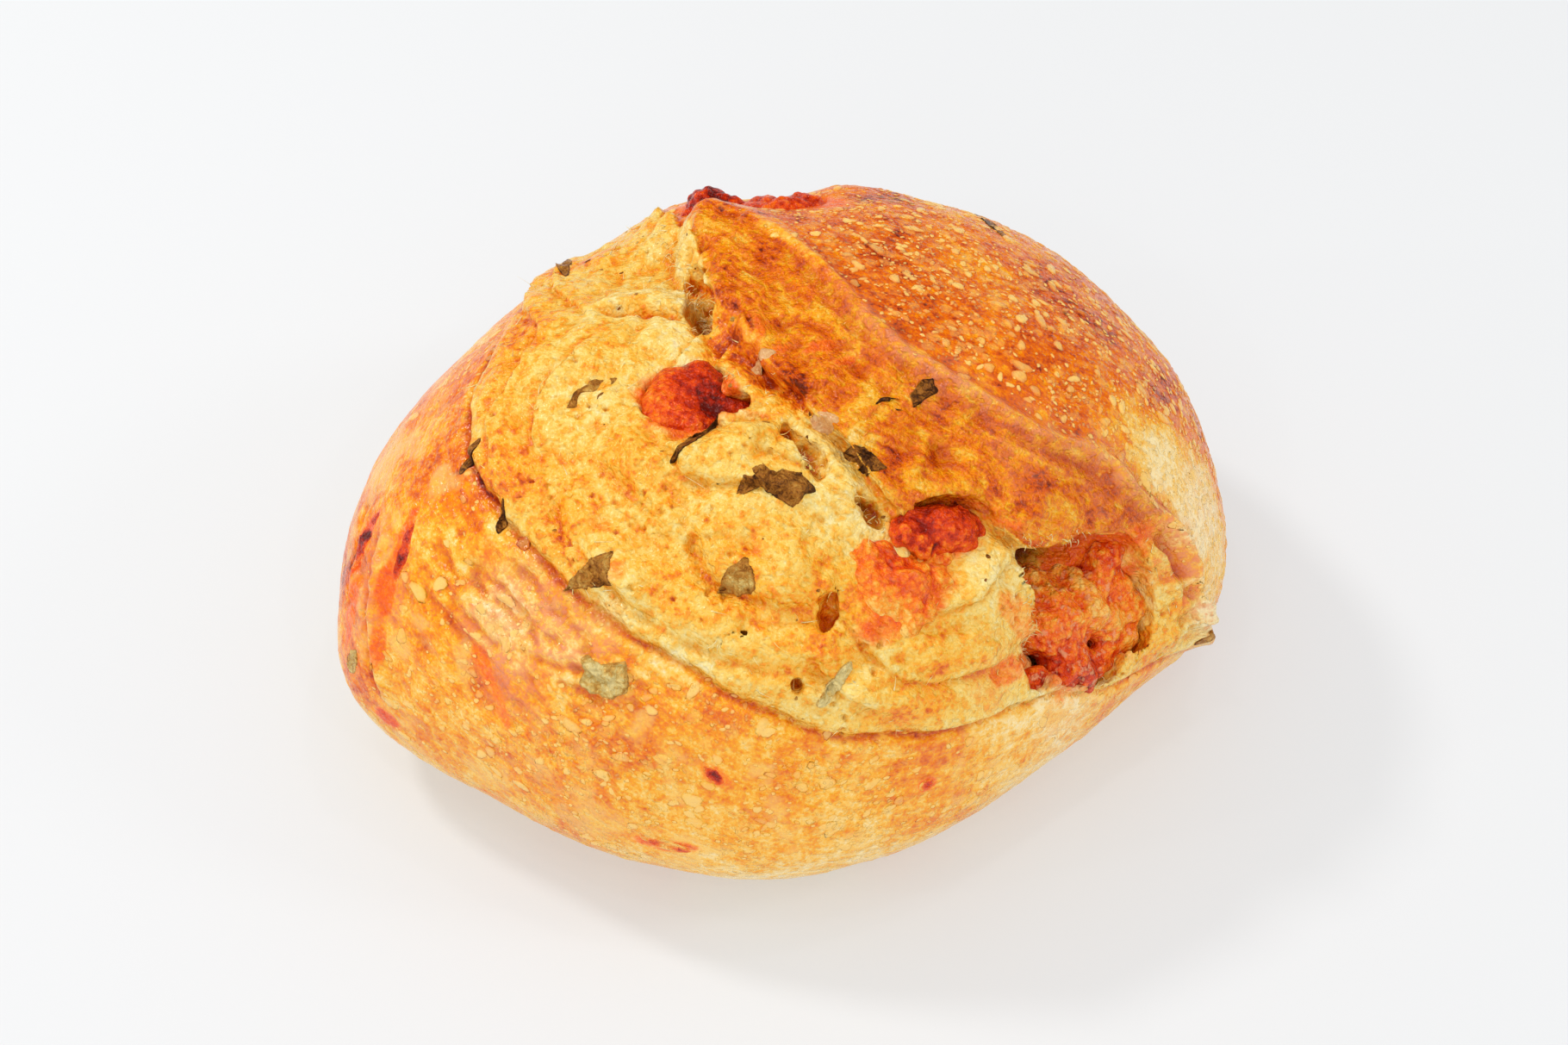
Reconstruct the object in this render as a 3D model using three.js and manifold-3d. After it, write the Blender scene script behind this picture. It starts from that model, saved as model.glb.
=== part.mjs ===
// A round sourdough loaf with baked cheese and roasted pepper in its dough, in millimetres.
// +Z is up and the origin is the middle of the flat base. One long score was cut over the top:
// behind it stands the crust's ear, and in front of it the crumb has burst out in a torn bloom.

import * as THREE from "three";
import { mergeVertices } from "three/addons/utils/BufferGeometryUtils.js";
import Module from "manifold-3d";

const wasm = await Module();
wasm.setup();

// ---------- driving dimensions ----------

const HEIGHT = 110;
const WAIST_HEIGHT = 32;
const BASE_SHRINK = 0.24;
const UNDERCUT_POWER = 2.2;
const PLAN_POWER = 2.3;
// Radii of the plan outline at the waist, every 22.5 degrees anticlockwise from +X.
const PLAN_RADII = [
  109.5, 108.5, 111.5, 106, 97.5, 101, 93.5, 97,
  107.5, 113.5, 102, 99, 96.5, 91.5, 89.5, 96,
];
const SURFACE_DETAIL = 17;
const FINE_SIDE = new THREE.Vector3(0.12, -0.55, 0.83);
const FINE_PULL = 0.42;
const EAR_RISE = 5.5;
const EAR_BACK = 24;
const EAR_FACE = 9;
const CREVICE_DEPTH = 6;
const CREASE_WIDTH = 5;
const RIM_CREASE = 2.5;
const BLOOM_SWELL = 3;
const FOLD_DEPTH = 3;
const FOLD_WIDTH = 4;
const GAP = 0.35;

const CHEESE_RED = 0xb5401a;
const CHEESE_ORANGE = 0xe07428;
const PEPPER_OLIVE = 0x6f6233;
const PEPPER_BROWN = 0x9a6434;
const CRUST = 0xe6a04a;

// ---------- lines on the surface ----------

function surfaceLine(...points) {
  const curve = new THREE.CatmullRomCurve3(points.map((p) => new THREE.Vector3(...p)));
  return curve.getSpacedPoints(8 * points.length);
}

// The raised edge of the crust, from the back of the loaf to its right end.
const earCrest = surfaceLine(
  [-26, 45, 101], [-4, 29, 108], [16, -2, 110], [35, -19, 105],
  [55, -26, 96], [80, -27, 77], [96, -28, 51], [103, -24, 24],
);
// The bottom of the score, where the smooth band under the ear meets the crumb.
const crevice = surfaceLine(
  [-22, 10, 108], [-12, -9, 110], [3, -33, 107], [14, -47, 100],
  [30, -50, 94], [47, -46, 88], [62, -43, 79], [76, -35, 74],
);
// The front edge of the bloom, where it lies on the lower crust.
const bloomRim = surfaceLine(
  [-46, 56, 84], [-65, 19, 93], [-74, -21, 93], [-61, -48, 88], [-38, -71, 81],
  [-3, -87, 69], [33, -82, 56], [63, -62, 47], [90, -39, 32], [102, -23, 24],
);
// Folds where the crumb has rolled over itself as it rose.
const lowerFold = surfaceLine([-20, -53, 99], [-19, -64, 92], [-6, -71, 88], [9, -67, 90]);
const upperFold = surfaceLine([-48, 4, 104], [-38, 8, 106], [-25, 3, 109]);
const middleFold = surfaceLine([-50, -60, 87], [-24, -66, 91], [2, -79, 79], [24, -72, 77]);
const pocketFold = surfaceLine([-44, -34, 100], [-26, -37, 102], [-8, -34, 106], [4, -40, 104]);
const leftTucks = [
  surfaceLine([-98, -20, 76], [-103, -30, 52], [-102, -42, 34]),
  surfaceLine([-88, -34, 80], [-95, -46, 58], [-93, -55, 36]),
];

// ---------- the smooth dome ----------

function planRadius(angle) {
  const turns = ((angle / (2 * Math.PI)) % 1 + 1) % 1;
  const place = turns * PLAN_RADII.length;
  const first = Math.floor(place);
  const [before, from, to, after] = [-1, 0, 1, 2].map(
    (step) => PLAN_RADII[(first + step + PLAN_RADII.length) % PLAN_RADII.length],
  );
  const t = place - first;
  const bend = 2 * before - 5 * from + 4 * to - after;
  const twist = 3 * (from - to) + after - before;
  return from + 0.5 * t * (to - before + t * (bend + t * twist));
}

// Under 1 inside the dome, 1 on it and more outside.
function domeLevel(p) {
  const reach = Math.hypot(p.x, p.y) / planRadius(Math.atan2(p.y, p.x));
  const lift = p.z - WAIST_HEIGHT;
  if (lift >= 0) {
    return reach ** PLAN_POWER + (lift / (HEIGHT - WAIST_HEIGHT)) ** 2;
  }
  return reach / (1 - BASE_SHRINK * Math.min(1, -lift / WAIST_HEIGHT) ** UNDERCUT_POWER);
}

const centre = new THREE.Vector3(0, 0, WAIST_HEIGHT);

// The point of the dome that lies in a direction from the centre, cut off flat at the base.
function domePoint(direction) {
  let near = 0;
  let far = 2 * HEIGHT;
  for (let step = 0; step < 30; step += 1) {
    const middle = (near + far) / 2;
    const p = direction.clone().multiplyScalar(middle).add(centre);
    if (domeLevel(p) < 1) {
      near = middle;
    } else {
      far = middle;
    }
  }
  const floorReach = direction.z < 0 ? -WAIST_HEIGHT / direction.z : Infinity;
  return direction.clone().multiplyScalar(Math.min(near, floorReach)).add(centre);
}

function domeNormal(p) {
  const step = 0.5;
  const slope = (axis) => {
    const offset = new THREE.Vector3().setComponent(axis, step);
    return domeLevel(p.clone().add(offset)) - domeLevel(p.clone().sub(offset));
  };
  return new THREE.Vector3(slope(0), slope(1), slope(2)).normalize();
}

// ---------- relief ----------

// Distance from p to a line, which side of it p lies on, and how far along it, from 0 to 1.
function fromLine(p, line) {
  let best = { distance: Infinity };
  for (let i = 0; i + 1 < line.length; i += 1) {
    const span = new THREE.Line3(line[i], line[i + 1]);
    const foot = span.closestPointToPoint(p, true, new THREE.Vector3());
    const distance = foot.distanceTo(p);
    if (distance < best.distance) {
      const heading = span.delta(new THREE.Vector3());
      const out = foot.clone().sub(centre);
      const side = Math.sign(heading.cross(p.clone().sub(foot)).dot(out));
      best = { distance, side, along: (i + foot.distanceTo(line[i]) / span.distance()) / line.length };
    }
  }
  return best;
}

const bell = (distance, width) => Math.exp(-((distance / width) ** 2));

function fade(along, ends = 0.12) {
  const room = Math.min(along, 1 - along);
  return THREE.MathUtils.smoothstep(room, 0, ends);
}

// A crest with a long back slope and a short face, which rises from the back of the loaf.
function earRelief(p) {
  const { distance, side, along } = fromLine(p, earCrest);
  const width = side > 0 ? EAR_BACK : EAR_FACE;
  return EAR_RISE * bell(distance, width) * THREE.MathUtils.smoothstep(along, 0, 0.1);
}

function creviceRelief(p) {
  const { distance, along } = fromLine(p, crevice);
  return -CREVICE_DEPTH * bell(distance, CREASE_WIDTH) * fade(along);
}

function rimRelief(p) {
  const { distance, side, along } = fromLine(p, bloomRim);
  const crease = -RIM_CREASE * bell(distance, CREASE_WIDTH);
  const swell = side > 0 ? BLOOM_SWELL * bell(distance - 13, 9) : 0;
  return (crease + swell) * fade(along);
}

// A groove with a rounded roll of crumb on one side of it.
function foldRelief(p, line, depth) {
  const { distance, side, along } = fromLine(p, line);
  const groove = -depth * bell(distance, FOLD_WIDTH);
  const roll = side > 0 ? depth * bell(distance - 2 * FOLD_WIDTH, 1.3 * FOLD_WIDTH) : 0;
  return (groove + roll) * fade(along, 0.2);
}

// Lumps and hollows: place on the surface, height or depth, and width.
const swellings = [
  { at: [-26, 60, 92], rise: 1, width: 9 },
  { at: [17, 68, 94], rise: 3, width: 15 },
  { at: [-4, 53, 101], rise: -4, width: 12 },
  { at: [-14, 24, 108], rise: -5, width: 11 },
  { at: [-30, 26, 105], rise: -4, width: 14 },
  { at: [-22, -24, 107], rise: -5, width: 9 },
  { at: [-34, -32, 103], rise: 2.5, width: 12 },
  { at: [-6, -46, 104], rise: 3, width: 11 },
  { at: [36, -55, 88], rise: -4, width: 8 },
  { at: [58, -40, 84], rise: 4, width: 9 },
  { at: [22, -76, 74], rise: 2.5, width: 14 },
  { at: [-48, -8, 103], rise: 2, width: 13 },
  { at: [91, 30, 68], rise: 2, width: 20 },
  { at: [-104, -44, 34], rise: 1.5, width: 12 },
];

function swellingRelief(p) {
  return swellings.reduce((sum, { at, rise, width }) => {
    return sum + rise * bell(p.distanceTo(new THREE.Vector3(...at)), width);
  }, 0);
}

function relief(p) {
  let height = earRelief(p) + creviceRelief(p) + rimRelief(p) + swellingRelief(p);
  height += foldRelief(p, lowerFold, FOLD_DEPTH);
  height += foldRelief(p, upperFold, FOLD_DEPTH);
  height += foldRelief(p, middleFold, 0.7 * FOLD_DEPTH);
  height += foldRelief(p, pocketFold, 0.8 * FOLD_DEPTH);
  for (const tuck of leftTucks) {
    height += foldRelief(p, tuck, 0.8 * FOLD_DEPTH);
  }
  return height * THREE.MathUtils.smoothstep(p.z, 4, 16);
}

// The loaf's real surface point outside a rough point, and the way out from it.
function surfaceAt(rough) {
  const onDome = domePoint(new THREE.Vector3(...rough).sub(centre).normalize());
  const outward = domeNormal(onDome);
  return { point: onDome.addScaledVector(outward, relief(onDome)), outward };
}

// ---------- solids ----------

function solidOf(geometry) {
  geometry.deleteAttribute("normal");
  geometry.deleteAttribute("uv");
  const merged = mergeVertices(geometry, 1e-3);
  return new wasm.Manifold(new wasm.Mesh({
    numProp: 3,
    vertProperties: new Float32Array(merged.attributes.position.array),
    triVerts: new Uint32Array(merged.index.array),
  }));
}

function geometryOf(solid) {
  const { vertProperties, triVerts } = solid.getMesh();
  const geometry = new THREE.BufferGeometry();
  geometry.setAttribute("position", new THREE.BufferAttribute(vertProperties, 3));
  geometry.setIndex(new THREE.BufferAttribute(triVerts, 1));
  geometry.computeVertexNormals();
  return geometry;
}

function eachVertex(geometry, move) {
  const places = geometry.attributes.position;
  for (let i = 0; i < places.count; i += 1) {
    const moved = move(new THREE.Vector3().fromBufferAttribute(places, i));
    places.setXYZ(i, moved.x, moved.y, moved.z);
  }
  return geometry;
}

// The body: a sphere of directions, drawn closer together towards the bloom.
function loafBody() {
  const focus = FINE_SIDE.clone().normalize().multiplyScalar(FINE_PULL);
  const sphere = new THREE.IcosahedronGeometry(1, SURFACE_DETAIL);
  return solidOf(eachVertex(sphere, (direction) => {
    const onDome = domePoint(direction.add(focus).normalize());
    return onDome.addScaledVector(domeNormal(onDome), relief(onDome));
  }));
}

// Turns local X, Y, Z into along, across and out of the surface at a place.
function standOn(rough, turn, sink) {
  const { point, outward } = surfaceAt(rough);
  const east = new THREE.Vector3(1, 0, 0);
  const across = outward.clone().cross(east).normalize();
  const along = across.clone().cross(outward).normalize();
  const frame = new THREE.Matrix4().makeBasis(along, across, outward);
  frame.multiply(new THREE.Matrix4().makeRotationZ(THREE.MathUtils.degToRad(turn)));
  return frame.setPosition(point.addScaledVector(outward, -sink));
}

// A lump of baked cheese: an ellipsoid with soft knobs, grown by a margin all round.
function cheeseSolid({ at, size, turn, sink, detail = 2, seed = 0 }, margin) {
  const ball = new THREE.IcosahedronGeometry(1, detail);
  eachVertex(ball, (direction) => {
    const knobs = Math.sin(5 * direction.x + seed) * Math.cos(4 * direction.y - seed)
      + 0.6 * Math.sin(8 * direction.z + 6 * direction.x + 2 * seed);
    const swell = 1 + 0.07 * knobs;
    return new THREE.Vector3(...size).multiplyScalar(0.5 * swell).addScalar(margin).multiply(direction);
  });
  return solidOf(ball.applyMatrix4(standOn(at, turn, sink)));
}

// A flat piece of pepper: a ring of corners round its middle, with thickness.
function pepperSolid({ at, size, turn, corners, thick = 3, proud = 0.7, seed = 0 }, margin) {
  const outline = new THREE.Shape();
  for (let i = 0; i < corners; i += 1) {
    const angle = (2 * Math.PI * (i + 0.5)) / corners;
    const uneven = 1 + 0.13 * Math.sin(2.4 * i + seed);
    const x = (size[0] / 2 * uneven + margin) * Math.cos(angle);
    const y = (size[1] / 2 * uneven + margin) * Math.sin(angle);
    outline[i === 0 ? "moveTo" : "lineTo"](x, y);
  }
  outline.closePath();
  const slab = new THREE.ExtrudeGeometry(outline, { depth: thick + 2 * margin, bevelEnabled: false });
  slab.translate(0, 0, -thick - margin);
  return solidOf(slab.applyMatrix4(standOn(at, turn, -proud)));
}

// ---------- what is baked into the loaf ----------

const cheeses = [
  { name: "cheese_in_opening", at: [72, -47, 60], size: [34, 40, 26], turn: 60, sink: 15, seed: 1, detail: 4 },
  { name: "cheese_in_pocket", at: [-22, -24, 107], size: [22, 18, 12], turn: 20, sink: 3.2, seed: 2, detail: 3 },
  { name: "cheese_under_ear", at: [36, -52, 90], size: [24, 10, 9], turn: 8, sink: 1.5, seed: 3 },
  { name: "cheese_fan", at: [26, -67, 84], size: [32, 25, 7], turn: -25, sink: 2.2, seed: 4, detail: 3 },
  { name: "cheese_back_knob", at: [-20, 56, 97], size: [13, 13, 13], turn: 30, sink: 4, seed: 5 },
  { name: "cheese_back_mass", at: [3, 53, 100], size: [26, 15, 13], turn: 4, sink: 2, seed: 6, detail: 3 },
  { name: "cheese_left_band", at: [-90, -42, 74], size: [9, 17, 5], turn: 10, sink: 1.6, seed: 7 },
  { name: "cheese_left_end", at: [-101, -30, 66], size: [8, 22, 6], turn: 5, sink: 1.8, seed: 8 },
  { name: "cheese_front_spot", at: [-16, -94, 55], size: [7, 9, 5], turn: -20, sink: 1.5, seed: 9, detail: 1 },
  { name: "cheese_low_spot", at: [33, -86, 42], size: [5, 5, 4], turn: 0, sink: 1.2, seed: 10, detail: 1 },
  { name: "cheese_low_strip", at: [-28, -96, 32], size: [16, 5, 4], turn: -20, sink: 1.2, seed: 11, detail: 1 },
];

const peppers = [
  { name: "pepper_wedge", at: [-42, -61, 87], size: [15, 9], turn: 20, corners: 5, seed: 1 },
  { name: "pepper_cube", at: [-40, -78, 71], size: [12, 10], turn: 5, corners: 8, seed: 2 },
  { name: "pepper_tooth", at: [-10, -67, 92], size: [10, 9], turn: 55, corners: 5, seed: 3 },
  { name: "pepper_flake", at: [-44, -21, 104], size: [12, 8], turn: 35, corners: 6, seed: 4 },
  { name: "pepper_pocket_strip", at: [-20, -37, 104], size: [15, 4], turn: 40, corners: 6, seed: 5 },
  { name: "pepper_leaf", at: [-3, -48, 102], size: [21, 8], turn: -8, corners: 8, seed: 6 },
  { name: "pepper_rim_strip", at: [-72, -29, 92], size: [11, 3], turn: -70, corners: 6, seed: 7 },
  { name: "pepper_rim_chip", at: [-64, -45, 89], size: [8, 3], turn: -60, corners: 6, seed: 8 },
  { name: "pepper_curl", at: [27, -25, 105], size: [15, 5], turn: -12, corners: 7, seed: 9 },
  { name: "pepper_scrap", at: [18, -41, 102], size: [10, 4], turn: -35, corners: 6, seed: 10 },
  { name: "pepper_stalk", at: [11, -82, 74], size: [12, 4], turn: 50, corners: 6, seed: 11 },
  { name: "pepper_back_strip", at: [-53, 42, 88], size: [20, 4], turn: 48, corners: 8, seed: 12 },
  { name: "pepper_crust_strip", at: [52, 57, 90], size: [24, 4], turn: -35, corners: 8, seed: 13 },
  { name: "pepper_right_end", at: [100, -26, 31], size: [8, 4], turn: 20, corners: 6, seed: 14 },
  { name: "pepper_left_end", at: [-103, -47, 42], size: [8, 5], turn: 80, corners: 6, seed: 15 },
];

// ---------- assembly ----------

const group = new THREE.Group();

function addMesh(name, solid, color, roughness) {
  const material = new THREE.MeshStandardMaterial({ color, roughness, metalness: 0 });
  const mesh = new THREE.Mesh(geometryOf(solid), material);
  mesh.name = name;
  group.add(mesh);
}

// The opening at the right end, where the crust gapes over a mass of cheese.
const opening = cheeseSolid(
  { at: [72, -46, 61], size: [40, 46, 30], turn: 60, sink: 3, seed: 1, detail: 4 },
  0,
);

let loaf = loafBody().subtract(opening);
for (const cheese of cheeses) {
  loaf = loaf.subtract(cheeseSolid(cheese, GAP));
}
for (const pepper of peppers) {
  loaf = loaf.subtract(pepperSolid(pepper, GAP));
}
addMesh("loaf", loaf, CRUST, 0.55);
for (const cheese of cheeses) {
  const color = cheese.name === "cheese_fan" ? CHEESE_ORANGE : CHEESE_RED;
  addMesh(cheese.name, cheeseSolid(cheese, 0), color, 0.35);
}
peppers.forEach((pepper, place) => {
  addMesh(pepper.name, pepperSolid(pepper, 0), place % 2 ? PEPPER_OLIVE : PEPPER_BROWN, 0.5);
});

export default group;
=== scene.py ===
"""The looks of a round sourdough loaf with baked cheese and roasted pepper in it.

Shapes are worked out in millimetres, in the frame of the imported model, and made into meshes in metres.
"""

import math

import bpy
import numpy as np
from mathutils.bvhtree import BVHTree
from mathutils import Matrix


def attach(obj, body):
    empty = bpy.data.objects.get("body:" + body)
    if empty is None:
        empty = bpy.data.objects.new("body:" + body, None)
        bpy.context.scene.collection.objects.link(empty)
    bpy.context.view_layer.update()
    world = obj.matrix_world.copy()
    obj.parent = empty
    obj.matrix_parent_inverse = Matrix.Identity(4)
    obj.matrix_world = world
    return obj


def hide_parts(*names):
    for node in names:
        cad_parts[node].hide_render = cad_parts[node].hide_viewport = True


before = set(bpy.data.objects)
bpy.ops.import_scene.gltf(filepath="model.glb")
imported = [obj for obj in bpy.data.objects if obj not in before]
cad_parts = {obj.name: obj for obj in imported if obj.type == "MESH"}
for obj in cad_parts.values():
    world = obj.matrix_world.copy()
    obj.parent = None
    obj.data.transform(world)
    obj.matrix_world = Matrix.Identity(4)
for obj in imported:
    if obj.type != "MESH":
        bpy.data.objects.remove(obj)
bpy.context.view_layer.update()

MM = 0.001
BODY = "root"

# ---------- camera and light ----------

CAMERA_ELEVATION = math.radians(45)
CAMERA_DISTANCE = 0.712
CAMERA_AIM = (0.0, 0.002, 0.040)
LENS_MM = 65
SENSOR_MM = 36


def make_camera():
    data = bpy.data.cameras.new("camera")
    data.lens = LENS_MM
    data.sensor_width = SENSOR_MM
    camera = bpy.data.objects.new("camera", data)
    camera.location = (
        CAMERA_AIM[0],
        CAMERA_AIM[1] - CAMERA_DISTANCE * math.cos(CAMERA_ELEVATION),
        CAMERA_AIM[2] + CAMERA_DISTANCE * math.sin(CAMERA_ELEVATION),
    )
    camera.rotation_euler = (math.pi / 2 - CAMERA_ELEVATION, 0, 0)
    bpy.context.scene.collection.objects.link(camera)
    bpy.context.scene.camera = camera


WHITE = (1.0, 1.0, 1.0)
GLINTS = ((-0.4, -0.9, 0.9), (0.35, -0.75, 1.0), (0.25, 0.1, 1.25), (-0.25, -0.3, 1.3), (-1.0, -0.4, 0.6))
# Lamps: name, place, diameter, power and colour. The small ones give the crust its highlights.
LAMPS = (
    ("key", (-0.75, 0.35, 1.05), 0.20, 5.6, (1.0, 0.99, 0.97)),
    ("fill", (-0.2, -1.3, 0.7), 0.9, 2.6, WHITE),
    ("right", (0.95, -0.15, 0.75), 0.25, 1.4, WHITE),
    *((f"glint_{number}", place, 0.06, 0.46, WHITE) for number, place in enumerate(GLINTS)),
)
LAMP_AIM = (0, 0, 0.05)
SKY_STRENGTH = 0.785


def make_lamp(name, place, size, power, color):
    data = bpy.data.lights.new(name, "AREA")
    data.shape = "DISK"
    data.size = size
    data.energy = power
    data.color = color
    lamp = bpy.data.objects.new(name, data)
    lamp.location = place
    x, y, z = np.array(place) - np.array(LAMP_AIM)
    lamp.rotation_euler = (0, math.atan2(math.hypot(x, y), z), math.atan2(y, x))
    bpy.context.scene.collection.objects.link(lamp)


def make_sky():
    """A white surround that lights the loaf but isn't mirrored in its gloss."""
    world = bpy.data.worlds.new("studio")
    bpy.context.scene.world = world
    world.use_nodes = True
    background = world.node_tree.nodes["Background"]
    background.inputs["Color"].default_value = (*WHITE, 1.0)
    background.inputs["Strength"].default_value = SKY_STRENGTH
    world.cycles_visibility.glossy = False
    bpy.context.scene.view_settings.view_transform = "Standard"


make_camera()
for lamp in LAMPS:
    make_lamp(*lamp)
make_sky()

# ---------- driving dimensions, mm ----------

HEIGHT = 110
# The height at which the loaf is widest.
WAIST = 32
# How far the underside draws in, and how late it does so.
BASE_SHRINK = 0.24
UNDERCUT_POWER = 2.2
# How full the dome's shoulders are; 2 is an ellipsoid.
PLAN_POWER = 2.3
# Radii of the plan outline at the waist, every 22.5 degrees anticlockwise from +X.
PLAN_RADII = np.array([
    109.5, 108.5, 111.5, 106, 97.5, 101, 93.5, 97,
    107.5, 113.5, 102, 99, 96.5, 91.5, 89.5, 96,
])
CENTRE = np.array([0.0, 0.0, WAIST])

# The ear: how high its crest stands, and how wide it is behind and before the crest.
EAR_RISE = 5.5
EAR_BACK = 26.0
EAR_FACE = 9.0
# The wall of the score, at its torn end and along the band.
TORN_END_RISE = 8.5
CLIFF_RISE = 4.5
# Depths under the loaf's outer shape from where, and by where, a place counts as inside a tear.
INSIDE_FROM, INSIDE_BY = -2.5, -5

# ---------- fineness ----------

GRID = 0.8
MAP_SIZE = 760
FINAL_TRIANGLES = 196_000
NOISE_CELLS = 32
LINE_STEPS = 6
POINTS_AT_ONCE = 50_000
FAR = 1e3
TINY = 1e-9

# ---------- small tools ----------

def smooth_step(value, low, high):
    t = np.clip((value - low) / (high - low), 0, 1)
    return t * t * (3 - 2 * t)


def bell(distance, width):
    return np.exp(-((distance / width) ** 2))


def length(vectors):
    return np.sqrt(np.einsum("...i,...i->...", vectors, vectors))


def unit(vectors):
    return vectors / length(vectors)[..., None]


def dot(a, b):
    return np.einsum("...i,...i->...", a, b)


def noise(points, size, seed):
    """Smooth random values from -1 to 1 that change over about size millimetres."""
    table = np.random.default_rng(seed).random((NOISE_CELLS,) * 3).astype(np.float32) * 2 - 1
    place = np.asarray(points, np.float32) / size
    corner = np.floor(place).astype(np.int32)
    t = place - corner
    t = t * t * (3 - 2 * t)
    x0, y0, z0 = (corner % NOISE_CELLS).T
    x1, y1, z1 = ((corner + 1) % NOISE_CELLS).T
    tx, ty, tz = t.T
    low = (table[x0, y0, z0] * (1 - tx) + table[x1, y0, z0] * tx) * (1 - ty) + (
        table[x0, y1, z0] * (1 - tx) + table[x1, y1, z0] * tx) * ty
    high = (table[x0, y0, z1] * (1 - tx) + table[x1, y0, z1] * tx) * (1 - ty) + (
        table[x0, y1, z1] * (1 - tx) + table[x1, y1, z1] * tx) * ty
    return low * (1 - tz) + high * tz


def rough(points, size, seed, octaves):
    """Noise with ever smaller detail added, about -1 to 1."""
    total = np.zeros(len(points), np.float32)
    for octave in range(octaves):
        total += noise(points, size / 2 ** octave, seed + octave) / 2 ** octave
    return total / 1.5


def shaking(points, size, seeds, octaves=3):
    """Rough values along X, Y and Z, to shake points with."""
    return np.stack([rough(points, size, seed, octaves) for seed in seeds], -1)


def bubbles(points, size, seed):
    """Distance to the nearest of many scattered centres about size millimetres apart, in that size."""
    jitter = np.random.default_rng(seed).random((*(NOISE_CELLS,) * 3, 3)).astype(np.float32)
    place = np.asarray(points, np.float32) / size
    corner = np.floor(place).astype(np.int32)
    best = np.full(len(points), 9.0, np.float32)
    for shift in np.ndindex(3, 3, 3):
        cell = corner + np.array(shift, np.int32) - 1
        x, y, z = (cell % NOISE_CELLS).T
        offset = place - cell - jitter[x, y, z]
        best = np.minimum(best, dot(offset, offset))
    return np.sqrt(best)


def ridge(across, width, soft):
    """1 on a line, falling off to both sides, with a crest rounded over about soft millimetres."""
    return np.exp(-(np.sqrt(across ** 2 + soft ** 2) - soft) / width)


def full_turn(count):
    """Angles in equal steps once round."""
    return np.arange(count) / count * 2 * np.pi


# ---------- the smooth dome ----------

def plan_radius(angle):
    count = len(PLAN_RADII)
    place = (angle / (2 * np.pi)) % 1 * count
    first = np.floor(place).astype(int)
    before, start, end, after = (PLAN_RADII[(first + step) % count] for step in (-1, 0, 1, 2))
    t = place - first
    bend = 2 * before - 5 * start + 4 * end - after
    twist = 3 * (start - end) + after - before
    return start + 0.5 * t * (end - before + t * (bend + t * twist))


def dome_level(points):
    """Under 1 inside the dome, 1 on it and more outside."""
    x, y, z = points[..., 0], points[..., 1], points[..., 2]
    reach = np.hypot(x, y) / plan_radius(np.arctan2(y, x))
    lift = np.clip((z - WAIST) / (HEIGHT - WAIST), 0, None)
    drop = np.clip((WAIST - z) / WAIST, 0, 1)
    return np.where(z > WAIST, reach ** PLAN_POWER + lift ** 2,
                    reach / (1 - BASE_SHRINK * drop ** UNDERCUT_POWER))


def dome_reach(directions):
    """How far the dome lies from the centre along each unit direction."""
    near_end = np.zeros(directions.shape[:-1])
    far_end = np.full(directions.shape[:-1], 2.0 * HEIGHT)
    for _ in range(24):
        middle = (near_end + far_end) / 2
        inside = dome_level(CENTRE + directions * middle[..., None]) < 1
        near_end = np.where(inside, middle, near_end)
        far_end = np.where(inside, far_end, middle)
    return near_end


def on_dome(points):
    """Points moved straight out from, or in to, the centre until they lie on the dome."""
    away = np.asarray(points, float) - CENTRE
    directions = unit(away)
    return CENTRE + directions * dome_reach(directions)[..., None]


# ---------- lines on the dome ----------

def surface_line(*points):
    """A smooth line through points, laid on the dome."""
    knots = np.array(points, float)
    knots = np.vstack([2 * knots[0] - knots[1], knots, 2 * knots[-1] - knots[-2]])
    steps = np.linspace(0, 1, LINE_STEPS, endpoint=False)[:, None]
    pieces = []
    for p0, p1, p2, p3 in zip(knots, knots[1:], knots[2:], knots[3:]):
        pieces.append(p1 + 0.5 * steps * (
            p2 - p0 + steps * (2 * p0 - 5 * p1 + 4 * p2 - p3 + steps * (3 * (p1 - p2) + p3 - p0))))
    pieces.append(knots[-2][None])
    return on_dome(np.vstack(pieces))


def near(points, line, reach):
    """Distance from each point to a line, signed distance across it, and place along it, 0 to 1."""
    distance = np.full(len(points), FAR)
    across = np.full(len(points), FAR)
    along = np.zeros(len(points))
    runs = np.diff(line, axis=0)
    spans = dot(runs, runs)
    turns = np.cross(line[:-1] - CENTRE, runs)
    low, high = line.min(0) - reach, line.max(0) + reach
    chosen = np.flatnonzero(((points > low) & (points < high)).all(1))
    for part in np.array_split(chosen, len(chosen) // POINTS_AT_ONCE + 1):
        p = points[part]
        nearest = (dot(line, line) - 2 * (p @ line.T)).argmin(1)
        best = np.full(len(p), FAR ** 2)
        for first in (np.maximum(nearest - 1, 0), np.minimum(nearest, len(runs) - 1)):
            away = p - line[first]
            t = np.clip(dot(away, runs[first]) / spans[first], 0, 1)
            offset = away - t[:, None] * runs[first]
            gap = dot(offset, offset)
            closer = gap < best
            best[closer] = gap[closer]
            side = np.sign(dot(offset, turns[first]))
            across[part[closer]] = (np.sqrt(gap) * side)[closer]
            along[part[closer]] = ((first + t) / len(runs))[closer]
        distance[part] = np.sqrt(best)
    return distance, across, along


def flat_map(points):
    """Points as places on a plane: the angle from straight up, laid out round the top of the loaf."""
    away = points - CENTRE
    angle = np.arccos(np.clip(away[..., 2] / length(away), -1, 1))
    ring = np.hypot(away[..., 0], away[..., 1]) + TINY
    return np.stack([away[..., 0] / ring * angle, away[..., 1] / ring * angle], -1)


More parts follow.
